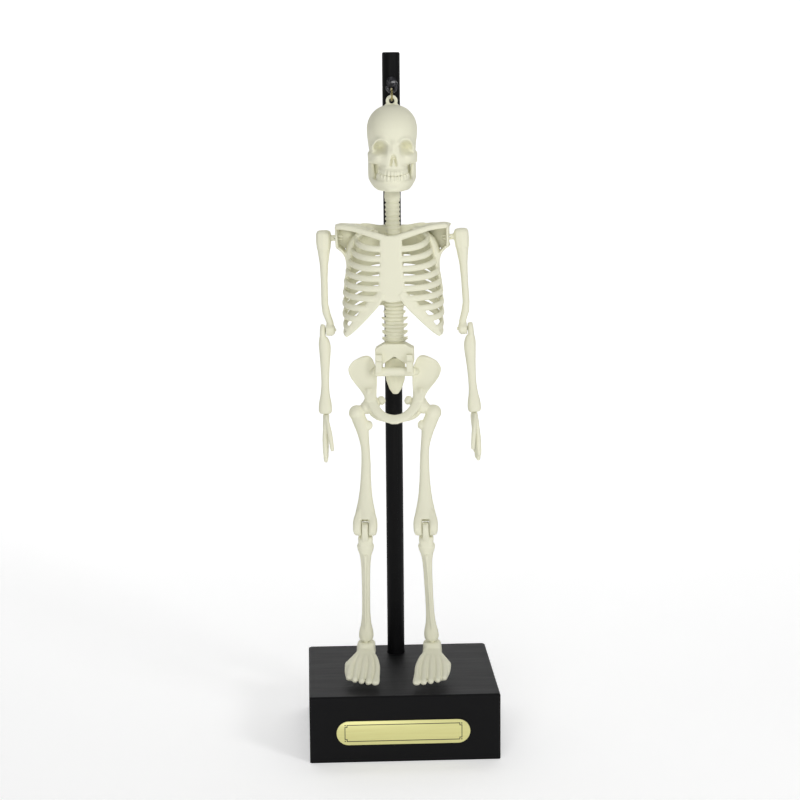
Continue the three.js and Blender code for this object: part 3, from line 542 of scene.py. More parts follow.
def jaw_surfaces():
    """A bar carried down one ramus, round the chin and up the other, with a row of parted teeth above it."""
    ramus = [(10.9, 1.4, 313.0, 1.1, 2.6), (11.0, 1.2, 311.4, 1.2, 3.6), (11.0, 0.9, 307.5, 1.3, 4.2),
             (10.8, 0.4, 303.6, 1.4, 4.1), (10.4, -1.6, 300.2, 1.5, 3.5), (9.7, -5.4, 298.8, 1.6, 3.0),
             (7.9, -10.2, 298.5, 1.7, 2.8), (4.7, -13.3, 298.2, 1.7, 2.9)]
    chin = [(0, -14.0, 298.1, 1.7, 3.0)]
    keys = ramus + chin + [(-x, y, z, wide, tall) for x, y, z, wide, tall in reversed(ramus)]
    rows = smooth_rows(keys, 220)
    centre = rows[:, :3]
    along = unit(np.gradient(centre, axis=0))
    away = unit(centre * (1, 1, 0) - np.array([0, 3.0, 0]))
    tall_way = unit(np.cross(along, away))
    away = np.cross(tall_way, along)
    wide, tall = outline(28, 2.6)
    bar = (centre[:, None] + away[:, None] * (rows[:, 3, None] * wide)[..., None]
           + tall_way[:, None] * (rows[:, 4, None] * tall)[..., None])
    low = np.clip((302.5 - bar[..., 2]) / 7.5, 0, 1) ** 1.5
    bar[..., 0] *= 1 - 0.3 * low
    bar[..., 1] += 1.6 * low * bump(bar[..., 1], -14, 8, 4)
    bar[..., 1] -= 1.3 * bump(bar[..., 2], 296.4, 1.9) * bump(bar[..., 0], 0, 4.6, 4) * (bar[..., 1] < -11)
    turn = np.linspace(math.radians(-172), math.radians(-8), 200)
    gum = tube(np.column_stack([7.9 * np.cos(turn), -6 + 8.6 * np.sin(turn), 300.9 + 1.7 * np.cos(turn) ** 2,
                                np.full(200, 0.95), np.full(200, 2.1)]), (0, 0, 1), 18, 200, 3)
    return [bar, gum] + tooth_row(12, 8.0, 9.4, 1.3, 302.05, 1.7)


RIBS = 9


def rib_half(k):
    return 25.6 * math.sin(math.radians(47 + 6.6 * min(k, 6.6))) - 0.25 * max(0, k - 7)


def costal_point(t):
    return np.array([7 + 17.4 * t, -16 + 5.5 * t, 240.6 - 20 * t])


def rib_ends(k):
    """Side and front ends of a rib: the side is the higher, the more so near the collar bones."""
    front = np.array([5.2, -16, 266.0 - 5.2 * k]) if k < 6 else costal_point((k - 4.95) / 3.6)
    return np.array([rib_half(k) + 0.2, -2, 270.4 - 5.55 * k]), front


def front_rib(k):
    """A flat oval carried over a quarter ellipse, from the side of the chest to the breastbone or its margin.
    Its height falls with the sine of the turn, so it hangs like a tilted hoop."""
    side, end = rib_ends(k)
    turn = np.linspace(0, math.pi / 2, 24)
    out, along = np.cos(turn) ** 0.9, np.sin(turn)
    path = [end[0] + (side[0] - end[0]) * out, side[1] + (end[1] - side[1]) * along,
            side[2] + (end[2] - side[2]) * along]
    return tube(np.column_stack(path + [np.full(24, 1.15), 1.75 - 0.1 * along]), sides=20, power=2.2)


def rear_rib(k):
    """The same hoop carried on round the back, rising to the spine."""
    side, _ = rib_ends(k)
    turn = np.linspace(0, math.pi / 2, 24)
    out, along = np.cos(turn) ** 0.9, np.sin(turn)
    rise = min(9.5, 273.8 - side[2])
    path = [4 + (side[0] - 4) * out, side[1] + 0.5 + (12.9 - side[1]) * along, side[2] + rise * along ** 1.3]
    return tube(np.column_stack(path + [np.full(24, 0.9), np.full(24, 2.7 if k < 4 else 2.1)]),
                sides=18, power=3)


def back_surfaces():
    """Back of the chest: a spine cover, the ribs and, at each shoulder, a box of a cheek, a roof, a blade,
    a sill, a lining and a wall."""
    cover = stack([(219, 0, 12.4, 3.2, 1.0), (222, 0, 12.6, 4.2, 1.2), (240, 0, 12.8, 4.8, 1.3),
                   (262, 0, 12.8, 4.9, 1.3), (274, 0, 12.5, 4.3, 1.2), (276.4, 0, 12.4, 3.0, 0.9)],
                  40, 60, 2.6)
    wide = 90
    cheek = stack([(265.4, 28.9, 2.4, 0.7, 6.6), (267, 29.0, 1.8, 0.8, 7.8), (272, 29.1, 1.6, 0.85, 8.0),
                   (276.6, 29.1, 1.6, 0.85, 8.0), (277.7, 29.0, 1.6, 0.7, 7.6)], wide, 40, 4)
    roof = tube([(28.9, 1.8, 276.9, 0.8, 7.6), (26, 2.6, 277.2, 0.85, 7.2), (20, 4.4, 276.4, 0.85, 5.8),
                 (13.6, 6.4, 274.6, 0.8, 4.6), (9, 8.6, 273.4, 0.7, 3.6)], (0, 1, 0), wide, power=4)
    blade = tube([(2, 12.4, 269.6, 0.8, 6.0), (8, 12.3, 269.2, 0.8, 7.4), (13, 12.1, 269, 0.85, 8.4),
                  (18, 11.7, 269.2, 0.85, 8.4), (22.5, 11.0, 270.6, 0.85, 7.2), (26, 10.2, 271.4, 0.8, 6.2),
                  (29.0, 9.6, 271.5, 0.8, 5.8)], sides=60, power=4)
    sill = tube([(29.2, 1.8, 265.9, 0.75, 7.6), (28, 2.0, 265.4, 0.8, 7.4), (26.2, 2.2, 263.8, 0.8, 6.8),
                 (24.6, 2.4, 261.2, 0.85, 6.2), (23.8, 2.4, 257.4, 0.85, 5.4), (23.9, 2.4, 252, 0.8, 4.2)],
                (0, 1, 0), 60, power=4)
    lining = tube([(20, 7.6, 270, 0.8, 6.0), (23, 5.6, 270.6, 0.8, 6.2), (26, 4.8, 271.2, 0.8, 6.0),
                   (29, 4.5, 271.4, 0.8, 5.8)], sides=60, power=4)
    wall = tube([(11, 5, 274.6, 1.0, 4.0), (16.4, 2.4, 272.6, 1.5, 4.6), (20.6, 0.8, 268.6, 2.3, 5.0),
                 (22.4, 0.2, 262.4, 2.7, 5.0), (22.9, 0, 256, 1.7, 4.2), (24.2, 0, 250, 1.2, 3.2),
                 (25.6, 0, 243, 0.8, 2.0)], (0, 1, 0), 30)
    return [cover] + both(cheek, roof, blade, sill, lining, wall, *[rear_rib(k) for k in range(RIBS)])


def ridged_column(low, high, pitch, radius, waist, deep):
    """A turned column whose radius swings between waist and radius once every pitch."""
    z = np.linspace(low, high, int((high - low) / pitch * 16))
    swell = np.abs(np.sin(np.pi * (z - low) / pitch)) ** 0.55
    half = waist + (radius - waist) * swell
    keys = np.column_stack([z, 0 * z, 6 + 0 * z, half, half * deep])
    return stack(keys, 56, len(z))


def column_surfaces():
    """The ridged neck and loins with short side spurs and a step under the skull."""
    spurs = []
    for z in (215.3, 218.9, 222.6, 226.4, 230.2, 234.0):
        reach = 7.0 if z < 228 else 5.9
        spurs.append(tube([(3, 7.6, z, 1.1, 1.2), (4.9, 8.2, z + 0.1, 1.0, 1.0),
                           (reach - 0.8, 8.7, z + 0.5, 0.6, 0.5), (reach, 8.9, z + 0.6, 0.25, 0.2)],
                          sides=14, count=20))
    neck = ridged_column(271.6, 291.0, 2.43, 4.05, 2.8, 0.92)
    collar = stack([(290.2, 0, 6, 3.4, 3.3), (290.8, 0, 6, 4.1, 3.9), (292.6, 0, 6, 4.15, 3.9),
                    (295.4, 0, 6, 3.7, 3.6), (296.2, 0, 6, 2.9, 2.9)], 48, 40)
    loins = ridged_column(210.6, 241.0, 1.95, 5.05, 3.9, 0.84)
    return [neck, collar, loins] + both(*spurs)


def chest_surfaces():
    """Breastbone, ribs, costal margins and collar bones, which melt into one moulded cage front."""
    breastbone = stack([(238.2, 0, -16.2, 1.6, 0.8), (239.4, 0, -16.2, 5.2, 1.0),
                        (240.6, 0, -16.2, 7.0, 1.05), (244, 0, -16.2, 7.0, 1.1), (252, 0, -16.2, 6.3, 1.1),
                        (258, 0, -16.2, 5.9, 1.1), (264, 0, -16.2, 5.7, 1.1), (269, 0, -16.1, 5.9, 1.15),
                        (271.6, 0, -16.0, 5.6, 1.15), (272.8, 0, -15.9, 4.2, 1.0)], 44, 70, 3.6)
    heights = (-0.12, 1.8), (0.1, 3.0), (0.4, 2.9), (0.7, 2.4), (0.92, 1.7), (1.03, 0.9)
    margin = tube([(*costal_point(t), 1.0, tall) for t, tall in heights], sides=24, power=2.8)
    last = tube([(24.3, -10.4, 220.9, 1.0, 1.2), (25.4, -6.5, 221.6, 1.0, 1.6), (25.2, -2, 223, 1.0, 1.6)])
    collar = tube([(2.6, -15.9, 271.4, 1.1, 1.7), (6.5, -15.7, 272.6, 1.2, 1.75),
                   (12, -14.6, 274.2, 1.25, 1.6), (20, -11.9, 276.4, 1.3, 1.45),
                   (26.5, -9.4, 277.2, 1.6, 1.5), (28.8, -8.4, 277.1, 1.3, 1.3)], sides=24, power=2.5)
    return [breastbone] + both(margin, last, collar, *[front_rib(k) for k in range(RIBS)])


def pelvis_surfaces():
    """Two dished wings that narrow into the pubic band, the cross bar they swing on and the hip sockets."""
    edge = [(184.6, 12.6, 3.1), (187.3, 13.1, 3.4), (190.1, 14.0, 4.4), (193.4, 15.3, 5.9),
            (196.8, 16.5, 7.1), (200.2, 17.2, 7.5), (202.6, 17.2, 6.9), (204.8, 16.8, 5.6),
            (206.4, 15.9, 3.9), (207.6, 15.2, 1.8), (207.9, 15, 0.5)]
    fore = (-5.2, -4.0, -3.0, -2.0, -1.2, -0.4, 0.0, 0.4, 0.6, 0.8, 0.9)
    thick = (2.2, 2.3, 2.2, 2.1, 2.0, 2.0, 2.0, 1.9, 1.8, 1.3, 0.5)
    wing = stack([(z, x, y, half, deep) for (z, x, half), y, deep in zip(edge, fore, thick)], 110, 120, 2.5)
    mid = smooth_rows(edge, 120)
    across = (wing[..., 0] - mid[:, 1, None]) / mid[:, 2, None]
    hollow = (1 - np.clip(np.abs(across), 0, 1) ** 5) * bump(wing[..., 2], 197.8, 8.2, 6)
    middle_y = wing[..., 1].mean(1, keepdims=True)
    wing[..., 1] += 2.3 * hollow * (wing[..., 1] < middle_y) + 0.7 * hollow * (wing[..., 1] >= middle_y)
    band = tube([(13.2, -2.6, 190.5, 1.4, 2.6), (12.6, -4.4, 186.4, 1.6, 2.8), (11.4, -6.6, 182.4, 1.5, 2.7),
                 (8.6, -8.8, 178.9, 1.3, 2.5), (4.6, -10.2, 176.3, 1.25, 2.4), (0, -10.7, 175.3, 1.3, 2.5),
                 (-2, -10.7, 175.5, 1.3, 2.5)], (0, 0.55, 1), 26, 60, 2.6)
    lower = tube([(13.6, -2.4, 181, 1.5, 1.6), (12.2, -4.2, 177.8, 1.4, 1.5), (9, -7.2, 175.8, 1.2, 1.4),
                  (4.6, -9.4, 175, 1.2, 1.3)])
    socket = ball(12.6, -2.6, 182.2, 4.6, 4.8, 5.0)
    root = tube([(9.8, -2, 199.5, 2.3, 2.3), (11.2, -0.8, 199.3, 1.9, 2.0), (12.8, 1.2, 199, 0.9, 1.4)])
    bar = tube([(-10.2, -2, 199.6, 2.45, 2.45), (0, -2, 199.6, 2.45, 2.45), (10.2, -2, 199.6, 2.45, 2.45)],
               sides=28, count=30, power=2.3)
    return [bar] + both(wing, band, lower, socket, root)


def thigh_surfaces():
    """A waisted shaft with a great and a small knob, a slanted neck, a snap peg and two rounded lobes at
    the knee, joined by a web."""
    knee = -THIGH
    shaft = stack([(knee + 3.6, 0, 0, 5.6, 3.6), (knee + 5, 0, 0, 5.8, 3.5), (knee + 9, 0, 0, 5.0, 2.9),
                   (knee + 15, 0, 0, 3.8, 2.5), (knee + 24, 0, 0, 2.85, 2.4), (-28, 0.1, 0, 2.4, 2.4),
                   (-21, 0.6, 0, 2.35, 2.5), (-14, 1.9, 0, 3.1, 2.8), (-9, 3.0, 0, 4.1, 3.2),
                   (-5, 4.6, 0, 4.0, 3.4), (-2, 5.2, 0, 3.2, 3.0), (-0.2, 5.3, 0, 1.6, 1.6),
                   (0, 5.3, 0, 0.8, 0.8)], 44, 110, 2.2)
    neck = tube([(0, 0, 0, 2.6, 2.6), (2.6, 0, -1.2, 2.5, 2.6), (5.6, 0, -3.2, 2.6, 3.4)], count=24)
    knobs = [ball(-0.9, 0.2, -9.6, 2.3, 2.2, 2.6), ball(5.3, -0.5, -3.0, 4.3, 3.8, 4.2),
             ball(0, 0, 0, 3.6, 3.6, 3.6)]
    slope = np.array([math.cos(math.radians(25)), 0, -math.sin(math.radians(25))])
    peg = tube([(*(slope * -reach), size, size) for reach, size in
                ((0, 1.9), (7.4, 1.9), (7.9, 2.4), (9.2, 2.35), (10.3, 1.6), (10.6, 1.2))], sides=24)
    lobes = []
    for out in (-1, 1):
        lobes.append(stack([(knee - 4.75, out * 3.4, 0.1, 1.2, 1.5), (knee - 4.3, out * 3.7, 0, 1.85, 2.5),
                            (knee - 2.6, out * 4.0, 0, 2.25, 3.9), (knee, out * 4.1, 0, 2.35, 4.6),
                            (knee + 2.8, out * 4.05, 0, 2.3, 4.1), (knee + 6, out * 3.4, 0, 2.2, 3.2),
                            (knee + 9, out * 2.4, 0, 1.6, 2.4)], 40, 50, 3.2))
    web = stack([(knee + 2.8, 0, 3.1, 2.6, 0.7), (knee + 3.4, 0, 3.0, 2.8, 0.9),
                 (knee + 6, 0, 1.8, 2.6, 1.4)], 24, 12, 4)
    return [shaft, neck, peg] + [turned_about_z(surface, -KNEE_TWIST) for surface in lobes + [web]] + knobs


def turned_about_z(surface, degrees):
    """The surface turned about Z: x cos - y sin and x sin + y cos."""
    turn = math.radians(degrees)
    cos, sin = math.cos(turn), math.sin(turn)
    x, y, z = surface[..., 0], surface[..., 1], surface[..., 2]
    return np.stack([x * cos - y * sin, x * sin + y * cos, z], -1)


def shank_surfaces():
    """A shaft that flares at both ends, a block with a tongue that fills the slot of the knee, and a stub at
    the ankle."""
    end = -SHANK
    levels = -68, -67, -65, -62, -58, -52, -38, -24, -17, -13.6, -11.4, -10.3
    lean = [0.8 * (z / end) ** 1.5 for z in levels]
    stations = [(end + 1.0, 2.7, 2.3), (end + 1.6, 3.6, 3.1), (end + 3.4, 3.95, 3.2),
                (end + 6.4, 3.7, 3.05), (end + 10.6, 2.85, 2.6), (end + 17, 2.3, 2.35),
                (end + 30, 2.2, 2.4), (-24, 2.45, 2.7), (-17, 3.1, 3.1), (-13.4, 4.15, 3.5),
                (-11.2, 4.5, 3.6), (-10.3, 4.2, 3.3)]
    shaft = stack([(z, x, 0, wide, deep) for (z, wide, deep), x in zip(stations, lean)], 40, 110, 2.2)
    ridge = tube([(1.1, -2.2, -62, 0.7, 0.9), (0.6, -2.4, -45, 0.7, 1.0), (0.2, -2.7, -25, 0.8, 1.2),
                  (0, -3.0, -15, 1.4, 1.4)], (0, 1, 0))
    block = stack([(-11, 0, 0, 3.7, 3.1), (-9.6, 0, 0, 3.75, 3.3), (-7.4, 0, 0, 3.9, 3.2),
                   (-6, 0, 0, 3.7, 2.7), (-5.5, 0, 0, 2.6, 1.8)], 40, 40, 2.8)
    tongue = tube([(0, -0.6, -7, 1.7, 2.8), (0, -1.1, -3.6, 1.7, 3.4), (0, -0.9, -0.6, 1.7, 3.6),
                   (0, -0.5, 0.7, 1.7, 3.1), (0, -0.1, 1.6, 1.7, 2.6), (0, 0, 2.3, 1.6, 1.2)],
                  (0, 1, 0), 44, 50, 6)
    stub = stack([(end - 1.4, 0.8, 0, 1.2, 1.5), (end + 3, 0.8, 0, 1.3, 1.9)], 24, 12, 3)
    return [shaft, ridge, block, tongue, stub]


def forearm_surfaces():
    """A shaft with a broad wrist, a slim waist and a round cheek that laps the elbow."""
    wrist = -42
    shaft = stack([(wrist - 2.6, 4.2, 0, 2.6, 2.3), (wrist - 1.6, 4.3, 0, 3.4, 2.9),
                   (wrist + 0.6, 4.3, 0, 3.55, 3.0), (wrist + 3.4, 4.3, 0, 3.3, 2.8),
                   (wrist + 8, 4.3, 0, 2.45, 2.3), (wrist + 14, 4.2, 0, 2.1, 2.1),
                   (wrist + 22, 4.2, 0, 2.4, 2.4), (-12, 4.2, 0, 3.0, 2.8), (-7.6, 4.4, 0, 3.1, 2.9),
                   (-4.3, 4.9, 0, 2.3, 2.7), (-3.4, 5.2, 0, 1.6, 2.6)], 40, 100, 2.3)
    cheek = tube([(5.4, 0.1, -6, 1.5, 2.7), (5.35, 0, -2, 1.55, 3.0), (5.3, 0, 0.6, 1.5, 2.8),
                  (5.2, 0, 2.4, 1.3, 1.9), (5.1, 0, 3.0, 0.8, 0.9)], (0, 1, 0), 30, 40, 2.6)
    peg = tube([(4.4, 0, 0, 0.95, 0.95), (1, 0, 0, 0.95, 0.95), (-1.9, 0, 0, 0.9, 0.9)], sides=20, count=12)
    return [shaft, cheek, peg]


def hand_surfaces(twist):
    """A flat palm and four fingers side by side, seen from the front as one bar, and a thumb that stands off;
    twist turns all but the wrist's tongue about the forearm."""
    palm = stack([(-12.6, 0.3, 0, 1.35, 4.2), (-9, 0.2, 0, 1.5, 4.5), (-5.6, 0, 0, 1.6, 3.7),
                  (-3.6, 0, 0, 1.6, 2.6), (-2.9, 0, 0, 1.3, 1.9)], 44, 44, 2.8)
    tongue = stack([(-4, 0, 0, 1.5, 0.6), (1.6, 0, 0, 1.5, 0.6), (2.3, 0, 0, 1.0, 0.5)], 24, 16, 3)
    fingers = [tube([(0.2, y * 0.86, -9, 1.2, 1.0), (0.35, y, -15, 1.4, 1.15),
                     (0.3, y * 1.02, -reach + 5, 1.35, 1.1), (0.2, y, -reach + 1.2, 1.15, 0.95),
                     (0.2, y, -reach, 0.6, 0.5)], (0, 1, 0), 20, 50)
               for y, reach in ((-3.3, 26.2), (-1.15, 28.6), (1.1, 27.8), (3.3, 24.6))]
    thumb = tube([(-0.2, -2.2, -3.8, 0.9, 1.2), (-1.2, -3.8, -8, 1.15, 1.3), (-2.3, -4.8, -13, 1.25, 1.3),
                  (-3.2, -5.2, -18.4, 1.15, 1.15), (-3.6, -5.3, -21.4, 0.95, 0.95),
                  (-3.7, -5.3, -22.2, 0.5, 0.5)], (0, 1, 0), 22, 60)
    return [tongue] + [turned_about_z(surface, twist) for surface in [palm, thumb] + fingers]


def foot_surfaces():
    """A flat wedge of squarish ovals from heel to toes with five ridges fanned over it, and a cuff at
    the ankle."""
    sole = -9.7
    y, x, half, top = smooth_rows([(9, 0.4, 2.6, -6.2), (7.4, 0.3, 3.9, -4.6), (4, 0.2, 4.5, -3.0),
                                   (0, 0.1, 4.7, -2.2), (-4, 0, 5.1, -2.8), (-8, 0.5, 6.4, -4.1),
                                   (-14, 1.0, 8.3, -5.6), (-20, 0.7, 8.6, -6.7), (-26, 0.2, 8.3, -7.6),
                                   (-30.5, 0, 7.2, -8.3)], 80).T
    wide, tall = outline(60, 3.0)
    wedge = np.stack([x[:, None] + half[:, None] * wide, np.repeat(y[:, None], 60, 1),
                      ((top + sole) / 2)[:, None] + ((top - sole) / 2)[:, None] * tall], -1)
    toes = []
    for index, place in enumerate((-6.4, -3.15, 0.1, 3.3, 6.3)):
        reach = (-36.2, -35.8, -34.8, -33.4, -31.0)[index]
        fat = (1.85, 1.55, 1.5, 1.45, 1.45)[index]
        toes.append(tube([(place * 0.45, -3.5, -4.6, 1.0, 0.9), (place * 0.8, -10, -5.6, 1.2, 1.2),
                          (place * 1.02, -18, -6.9, 1.3, 1.35), (place * 1.06, -25, -7.8, 1.3, 1.3),
                          (place * 1.06, reach + 4.6, -8.2, fat * 0.92, 1.3),
                          (place * 1.04, reach + 1.8, -8.2, fat, 1.45),
                          (place * 1.02, reach + 0.4, -8.5, fat * 0.8, 1.1),
                          (place * 1.02, reach - 0.1, -8.7, 0.5, 0.5)], sides=22, count=70))
    cuff = stack([(-6.5, 0.1, 0, 5.2, 5.2), (-3.4, 0.1, 0.4, 5.0, 4.9), (-1.4, 0, 0.9, 4.7, 4.1),
                  (-0.5, 0, 1.2, 3.9, 3.2)], 48, 24, 2.6)
    knuckle = ball(7.2, -15.5, -7.4, 2.4, 3.6, 2.2)
    surfaces = []
    for surface in [wedge, cuff, knuckle] + toes:
        ahead = np.clip(-surface[..., 1] - 6, 0, 40)
        wider = 1 + 0.1 * (1 - np.exp(-ahead / 4))
        x, y, z = surface[..., 0], surface[..., 1], surface[..., 2]
        surfaces.append(np.stack([x * wider, y - 0.07 * ahead, z - 0.02 * ahead], -1))
    return surfaces


# ---------------------------------------------------------------- settings


class SkeletonLook(bpy.types.PropertyGroup):
    """Colours of the finishes."""

    bone_light: bpy.props.FloatVectorProperty(
        name="Bone", description="Ivory plastic where it is lightest", subtype="COLOR", size=3,
        min=0, max=1, default=linear(224, 221, 150)[:3])
    bone_shade: bpy.props.FloatVectorProperty(
        name="Bone shade", description="Ivory plastic where it is darkest", subtype="COLOR", size=3,
        min=0, max=1, default=linear(208, 202, 128)[:3])
    paint: bpy.props.FloatVectorProperty(
        name="Paint", description="Black paint of the base and post", subtype="COLOR", size=3,
        min=0, max=1, default=(0.004, 0.004, 0.0045))
    foil: bpy.props.FloatVectorProperty(
        name="Foil", description="Foil of the plate", subtype="COLOR", size=3,
        min=0, max=1, default=linear(214, 208, 140)[:3])


class StudioLook(bpy.types.PropertyGroup):
    """Camera and light."""

    lens: bpy.props.FloatProperty(name="Lens", description="Focal length on a 36 mm sensor", unit="CAMERA",
                                  min=20, max=300, default=91.1)
    camera_place: bpy.props.FloatVectorProperty(
        name="Camera", description="Where the camera stands", subtype="XYZ", unit="LENGTH", size=3,
        default=(-0.0475, -1.0635, 0.3585))
    key: bpy.props.FloatProperty(name="Key", description="Power that the lights are measured by",
                                 unit="POWER", min=0, max=200, default=4.25)
    sky: bpy.props.FloatProperty(
        name="Sky", description="Strength of the even white surround", min=0, max=5, default=0.16)


# ---------------------------------------------------------------- operators


SKIN = {name: cell * MM for name, cell in (  # cell of each moulded skin
    ("skull", 0.27), ("mandible", 0.24), ("chest", 0.3), ("chest_back", 0.37), ("hips", 0.28),
    ("column", 0.18), ("yoke", 0.28), ("limb", 0.26), ("upper_arm", 0.3))}


def mould(piece, look, voxel, passes):
    """Melts a bone into one skin and gives it the ivory plastic."""
    soften(piece, voxel, passes)
    dress(piece, bpy.data.materials.get("bone_plastic") or moulded_bone(look))


class SKELETON_OT_head(bpy.types.Operator):
    """Makes the skull with its lug and the hinged jaw"""

    bl_idname = "skeleton.head"
    bl_label = "Skull and jaw"

    def execute(self, context):
        look = context.scene.skeleton_look
        upper_teeth = tooth_row(12, 7.3, 9.1, 1.3, 304.6, 1.2)
        surfaces = [skull_surface()] + hanging_lug() + palate_wings() + upper_teeth
        skull = new_piece("skull", surfaces, head_frame(), "skull", "skull_front", "skull_back")
        mould(skull, look, SKIN["skull"], 3)
        mandible = new_piece("mandible", jaw_surfaces(), head_frame(), "jaw", "jaw")
        mould(mandible, look, SKIN["mandible"], 3)
        return {"FINISHED"}


class SKELETON_OT_trunk(bpy.types.Operator):
    """Makes the chest, pelvis and ridged column and softens the yoke of the spine"""

    bl_idname = "skeleton.trunk"
    bl_label = "Trunk"

    def execute(self, context):
        look = context.scene.skeleton_look
        place = body_frame()
        chest = new_piece("chest", chest_surfaces(), place, "torso", "rib_cage_front")
        mould(chest, look, SKIN["chest"], 3)
        chest_back = new_piece("chest_back", back_surfaces(), place, "torso", "rib_cage_back")
        mould(chest_back, look, SKIN["chest_back"], 3)
        hips = new_piece("hips", pelvis_surfaces(), place, "pelvis", "pelvis")
        mould(hips, look, SKIN["hips"], 3)
        column = new_piece("column", column_surfaces(), place, "torso")
        mould(column, look, SKIN["column"], 1)
        mould(NODES["spine"], look, SKIN["yoke"], 4)
        return {"FINISHED"}


class SKELETON_OT_limbs(bpy.types.Operator):
    """Makes the bones of the arms and legs"""

    bl_idname = "skeleton.limbs"
    bl_label = "Limbs"

    def execute(self, context):
        look = context.scene.skeleton_look
        for side, outward, hand_twist in (("right", -1, 0), ("left", 1, LEFT_HAND_TWIST)):
            elbow, wrist = f"{side}_elbow_bend", f"{side}_wrist_bend"
            bones = (
                ("thigh_bone", thigh_surfaces(), thigh_frame(side, -outward * KNEE_TWIST), "thigh", "femur"),
                ("shin_bone", shank_surfaces(), shank_frame(side), "shank", "tibia"),
                ("sole", foot_surfaces(), foot_frame(side), "foot", "foot"),
                ("arm_bone", forearm_surfaces(), forearm_frame(side, elbow), "lower_arm", "forearm"),
                ("fingers", hand_surfaces(hand_twist), forearm_frame(side, wrist), "hand", "hand"))
            for name, surfaces, place, body, node in bones:
                if side == "right":
                    surfaces = [flipped(surface) for surface in surfaces]
                piece = new_piece(f"{side}_{name}", surfaces, place, f"{side}_{body}", f"{side}_{node}")
                mould(piece, look, SKIN["limb"], 3)
            mould(NODES[f"{side}_humerus"], look, SKIN["upper_arm"], 6)
        return {"FINISHED"}


class SKELETON_OT_stand(bpy.types.Operator):
    """Paints the base and post, rounds their edges and finishes the hook, ring, screw and plate"""

    bl_idname = "skeleton.stand"
    bl_label = "Stand"

    def execute(self, context):
        look = context.scene.skeleton_look
        wood = painted_wood(look)
        for name, width in (("base", 0.7 * MM), ("post", 0.4 * MM)):
            round_edges(NODES[name], width)
            dress(NODES[name], wood, name == "post")
        metals = {"hook": (blackened_steel(), "black_steel"), "post_screw": (zinc_plate(), "zinc_steel"),
                  "hanging_ring": (polished_brass(), "brass")}
        for name, (metal, slot_name) in metals.items():
            dress(NODES[name], metal)
        soften(NODES["hook"], 0.2 * MM, 6)
        soften(NODES["hanging_ring"], 0.14 * MM, 6)
        round_edges(NODES["post_screw"], 0.15 * MM, 2)
        round_edges(NODES["name_plate"], 0.15 * MM, 2)
        dress(NODES["name_plate"], printed_foil(look))
        return {"FINISHED"}


def aimed_camera(studio):
    """Camera turned 2.60 degrees to the right, 9.31 down and rolled 0.48 back."""
    yaw, pitch, roll = (math.radians(v) for v in (2.60, 9.31, -0.48))
    ahead = Vector((math.sin(yaw) * math.cos(pitch), math.cos(yaw) * math.cos(pitch), -math.sin(pitch)))
    right = Vector((math.cos(yaw), -math.sin(yaw), 0))
    up = right.cross(ahead)
    rolled_right = right * math.cos(roll) + up * math.sin(roll)
    rolled_up = up * math.cos(roll) - right * math.sin(roll)
    turned = Matrix((rolled_right, rolled_up, -ahead)).transposed().to_4x4()
    data = bpy.data.cameras.new("camera")
    data.lens = studio.lens
    data.sensor_width = 36
    data.clip_start = 0.01
    camera = bpy.data.objects.new("camera", data)
    camera.matrix_world = Matrix.Translation(studio.camera_place) @ turned
    return camera


def swept_floor(half=5.0, turn=1.2, radius=0.8, height=2.4):
    """A floor that runs back and curls up into a wall: across = half * u, and its profile is a straight run,
    a quarter circle of the given radius that starts at y = turn, then a straight rise."""
    bend = np.linspace(0, math.pi / 2, 13)
    profile = np.vstack([[-half, 0],
                         np.column_stack([turn + radius * np.sin(bend), radius * (1 - np.cos(bend))]),
                         [turn + radius, height]])
    left, right = (np.column_stack([np.full(len(profile), x), profile]) for x in (-half, half))
    points = np.vstack([left, right])
    row = np.arange(len(profile) - 1)
    faces = np.column_stack([row, row + len(profile), row + len(profile) + 1, row + 1])
    mesh = bpy.data.meshes.new("floor")
    mesh.from_pydata(points.tolist(), [], faces.tolist())
    mesh.polygons.foreach_set("use_smooth", np.full(len(faces), True))
    return bpy.data.objects.new("floor", mesh)


def soft_light(name, place, target, width, power):
    """A square area light that faces target."""
    data = bpy.data.lights.new(name, "AREA")
    data.size = width
    data.energy = power
    light = bpy.data.objects.new(name, data)
    away = Vector(place) - Vector(target)
    light.matrix_world = Matrix.Translation(place) @ away.to_track_quat("Z", "Y").to_matrix().to_4x4()
    return light


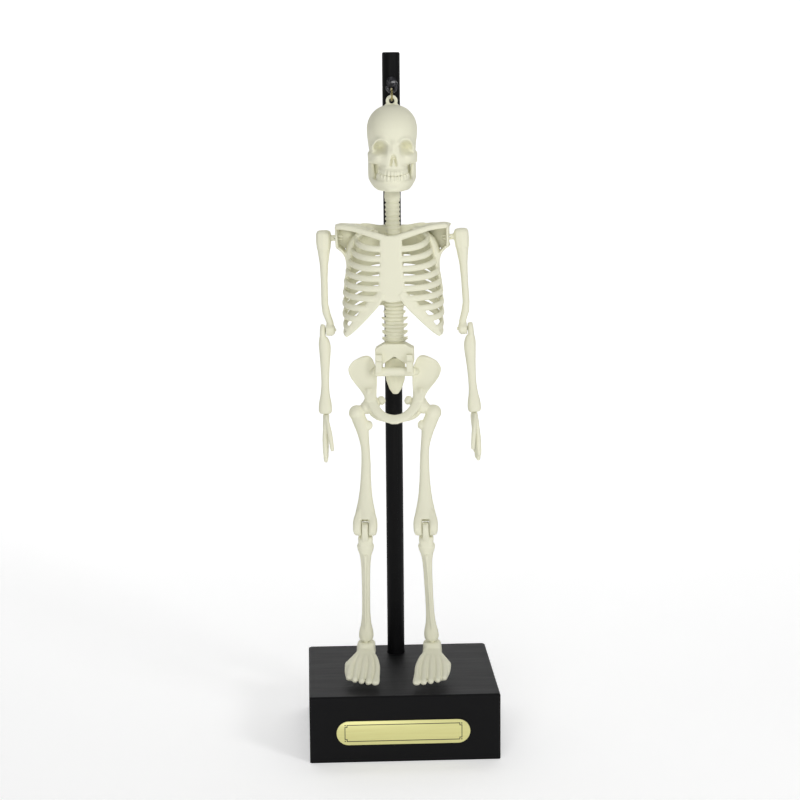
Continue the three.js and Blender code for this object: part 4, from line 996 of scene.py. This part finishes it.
class SKELETON_OT_stage(bpy.types.Operator):
    """Adds the camera, the soft lights and the pale floor"""

    bl_idname = "skeleton.stage"
    bl_label = "Studio"

    def execute(self, context):
        studio = context.scene.skeleton_studio
        camera = aimed_camera(studio)
        middle = (0, 0, 0.2)
        lights = [
            soft_light("front_light", (-0.3, -1.35, 0.42), middle, 0.5, studio.key * 1.2),
            soft_light("side_light", (0.75, -0.95, 0.75), middle, 0.3, studio.key * 1.05),
            soft_light("top_light", (0, -0.6, 1.4), middle, 0.6, studio.key * 0.5),
            soft_light("backdrop_light", (0, 0.9, 1.5), (0, 2.0, 0.3), 1.6, studio.key * 3.0),
        ]
        for thing in [camera] + lights:
            context.scene.collection.objects.link(thing)
        context.scene.camera = camera
        floor = swept_floor()
        floor.data.materials.append(pale_floor())
        context.scene.collection.objects.link(floor)
        world = bpy.data.worlds.new("studio")
        world.use_nodes = True
        background = world.node_tree.nodes["Background"]
        background.inputs[0].default_value = (1, 1, 1, 1)
        background.inputs[1].default_value = studio.sky
        context.scene.world = world
        context.scene.view_settings.view_transform = "Standard"
        return {"FINISHED"}


class SKELETON_PT_panel(bpy.types.Panel):
    """Lists the makers"""

    bl_label = "Skeleton"
    bl_space_type = "VIEW_3D"
    bl_region_type = "UI"
    bl_category = "Skeleton"

    def draw(self, context):
        for maker in MAKERS:
            self.layout.operator(maker.bl_idname)


MAKERS = (SKELETON_OT_stage, SKELETON_OT_head, SKELETON_OT_trunk, SKELETON_OT_limbs, SKELETON_OT_stand)
CLASSES = (SkeletonLook, StudioLook) + MAKERS + (SKELETON_PT_panel,)


def register():
    for cls in CLASSES:
        bpy.utils.register_class(cls)
    bpy.types.Scene.skeleton_look = bpy.props.PointerProperty(type=SkeletonLook)
    bpy.types.Scene.skeleton_studio = bpy.props.PointerProperty(type=StudioLook)


def unregister():
    del bpy.types.Scene.skeleton_studio
    del bpy.types.Scene.skeleton_look
    for cls in reversed(CLASSES):
        bpy.utils.unregister_class(cls)


def main():
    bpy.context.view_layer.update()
    register()
    for maker in MAKERS:
        group, name = maker.bl_idname.split(".")
        getattr(getattr(bpy.ops, group), name)()


if __name__ == "__main__":
    main()
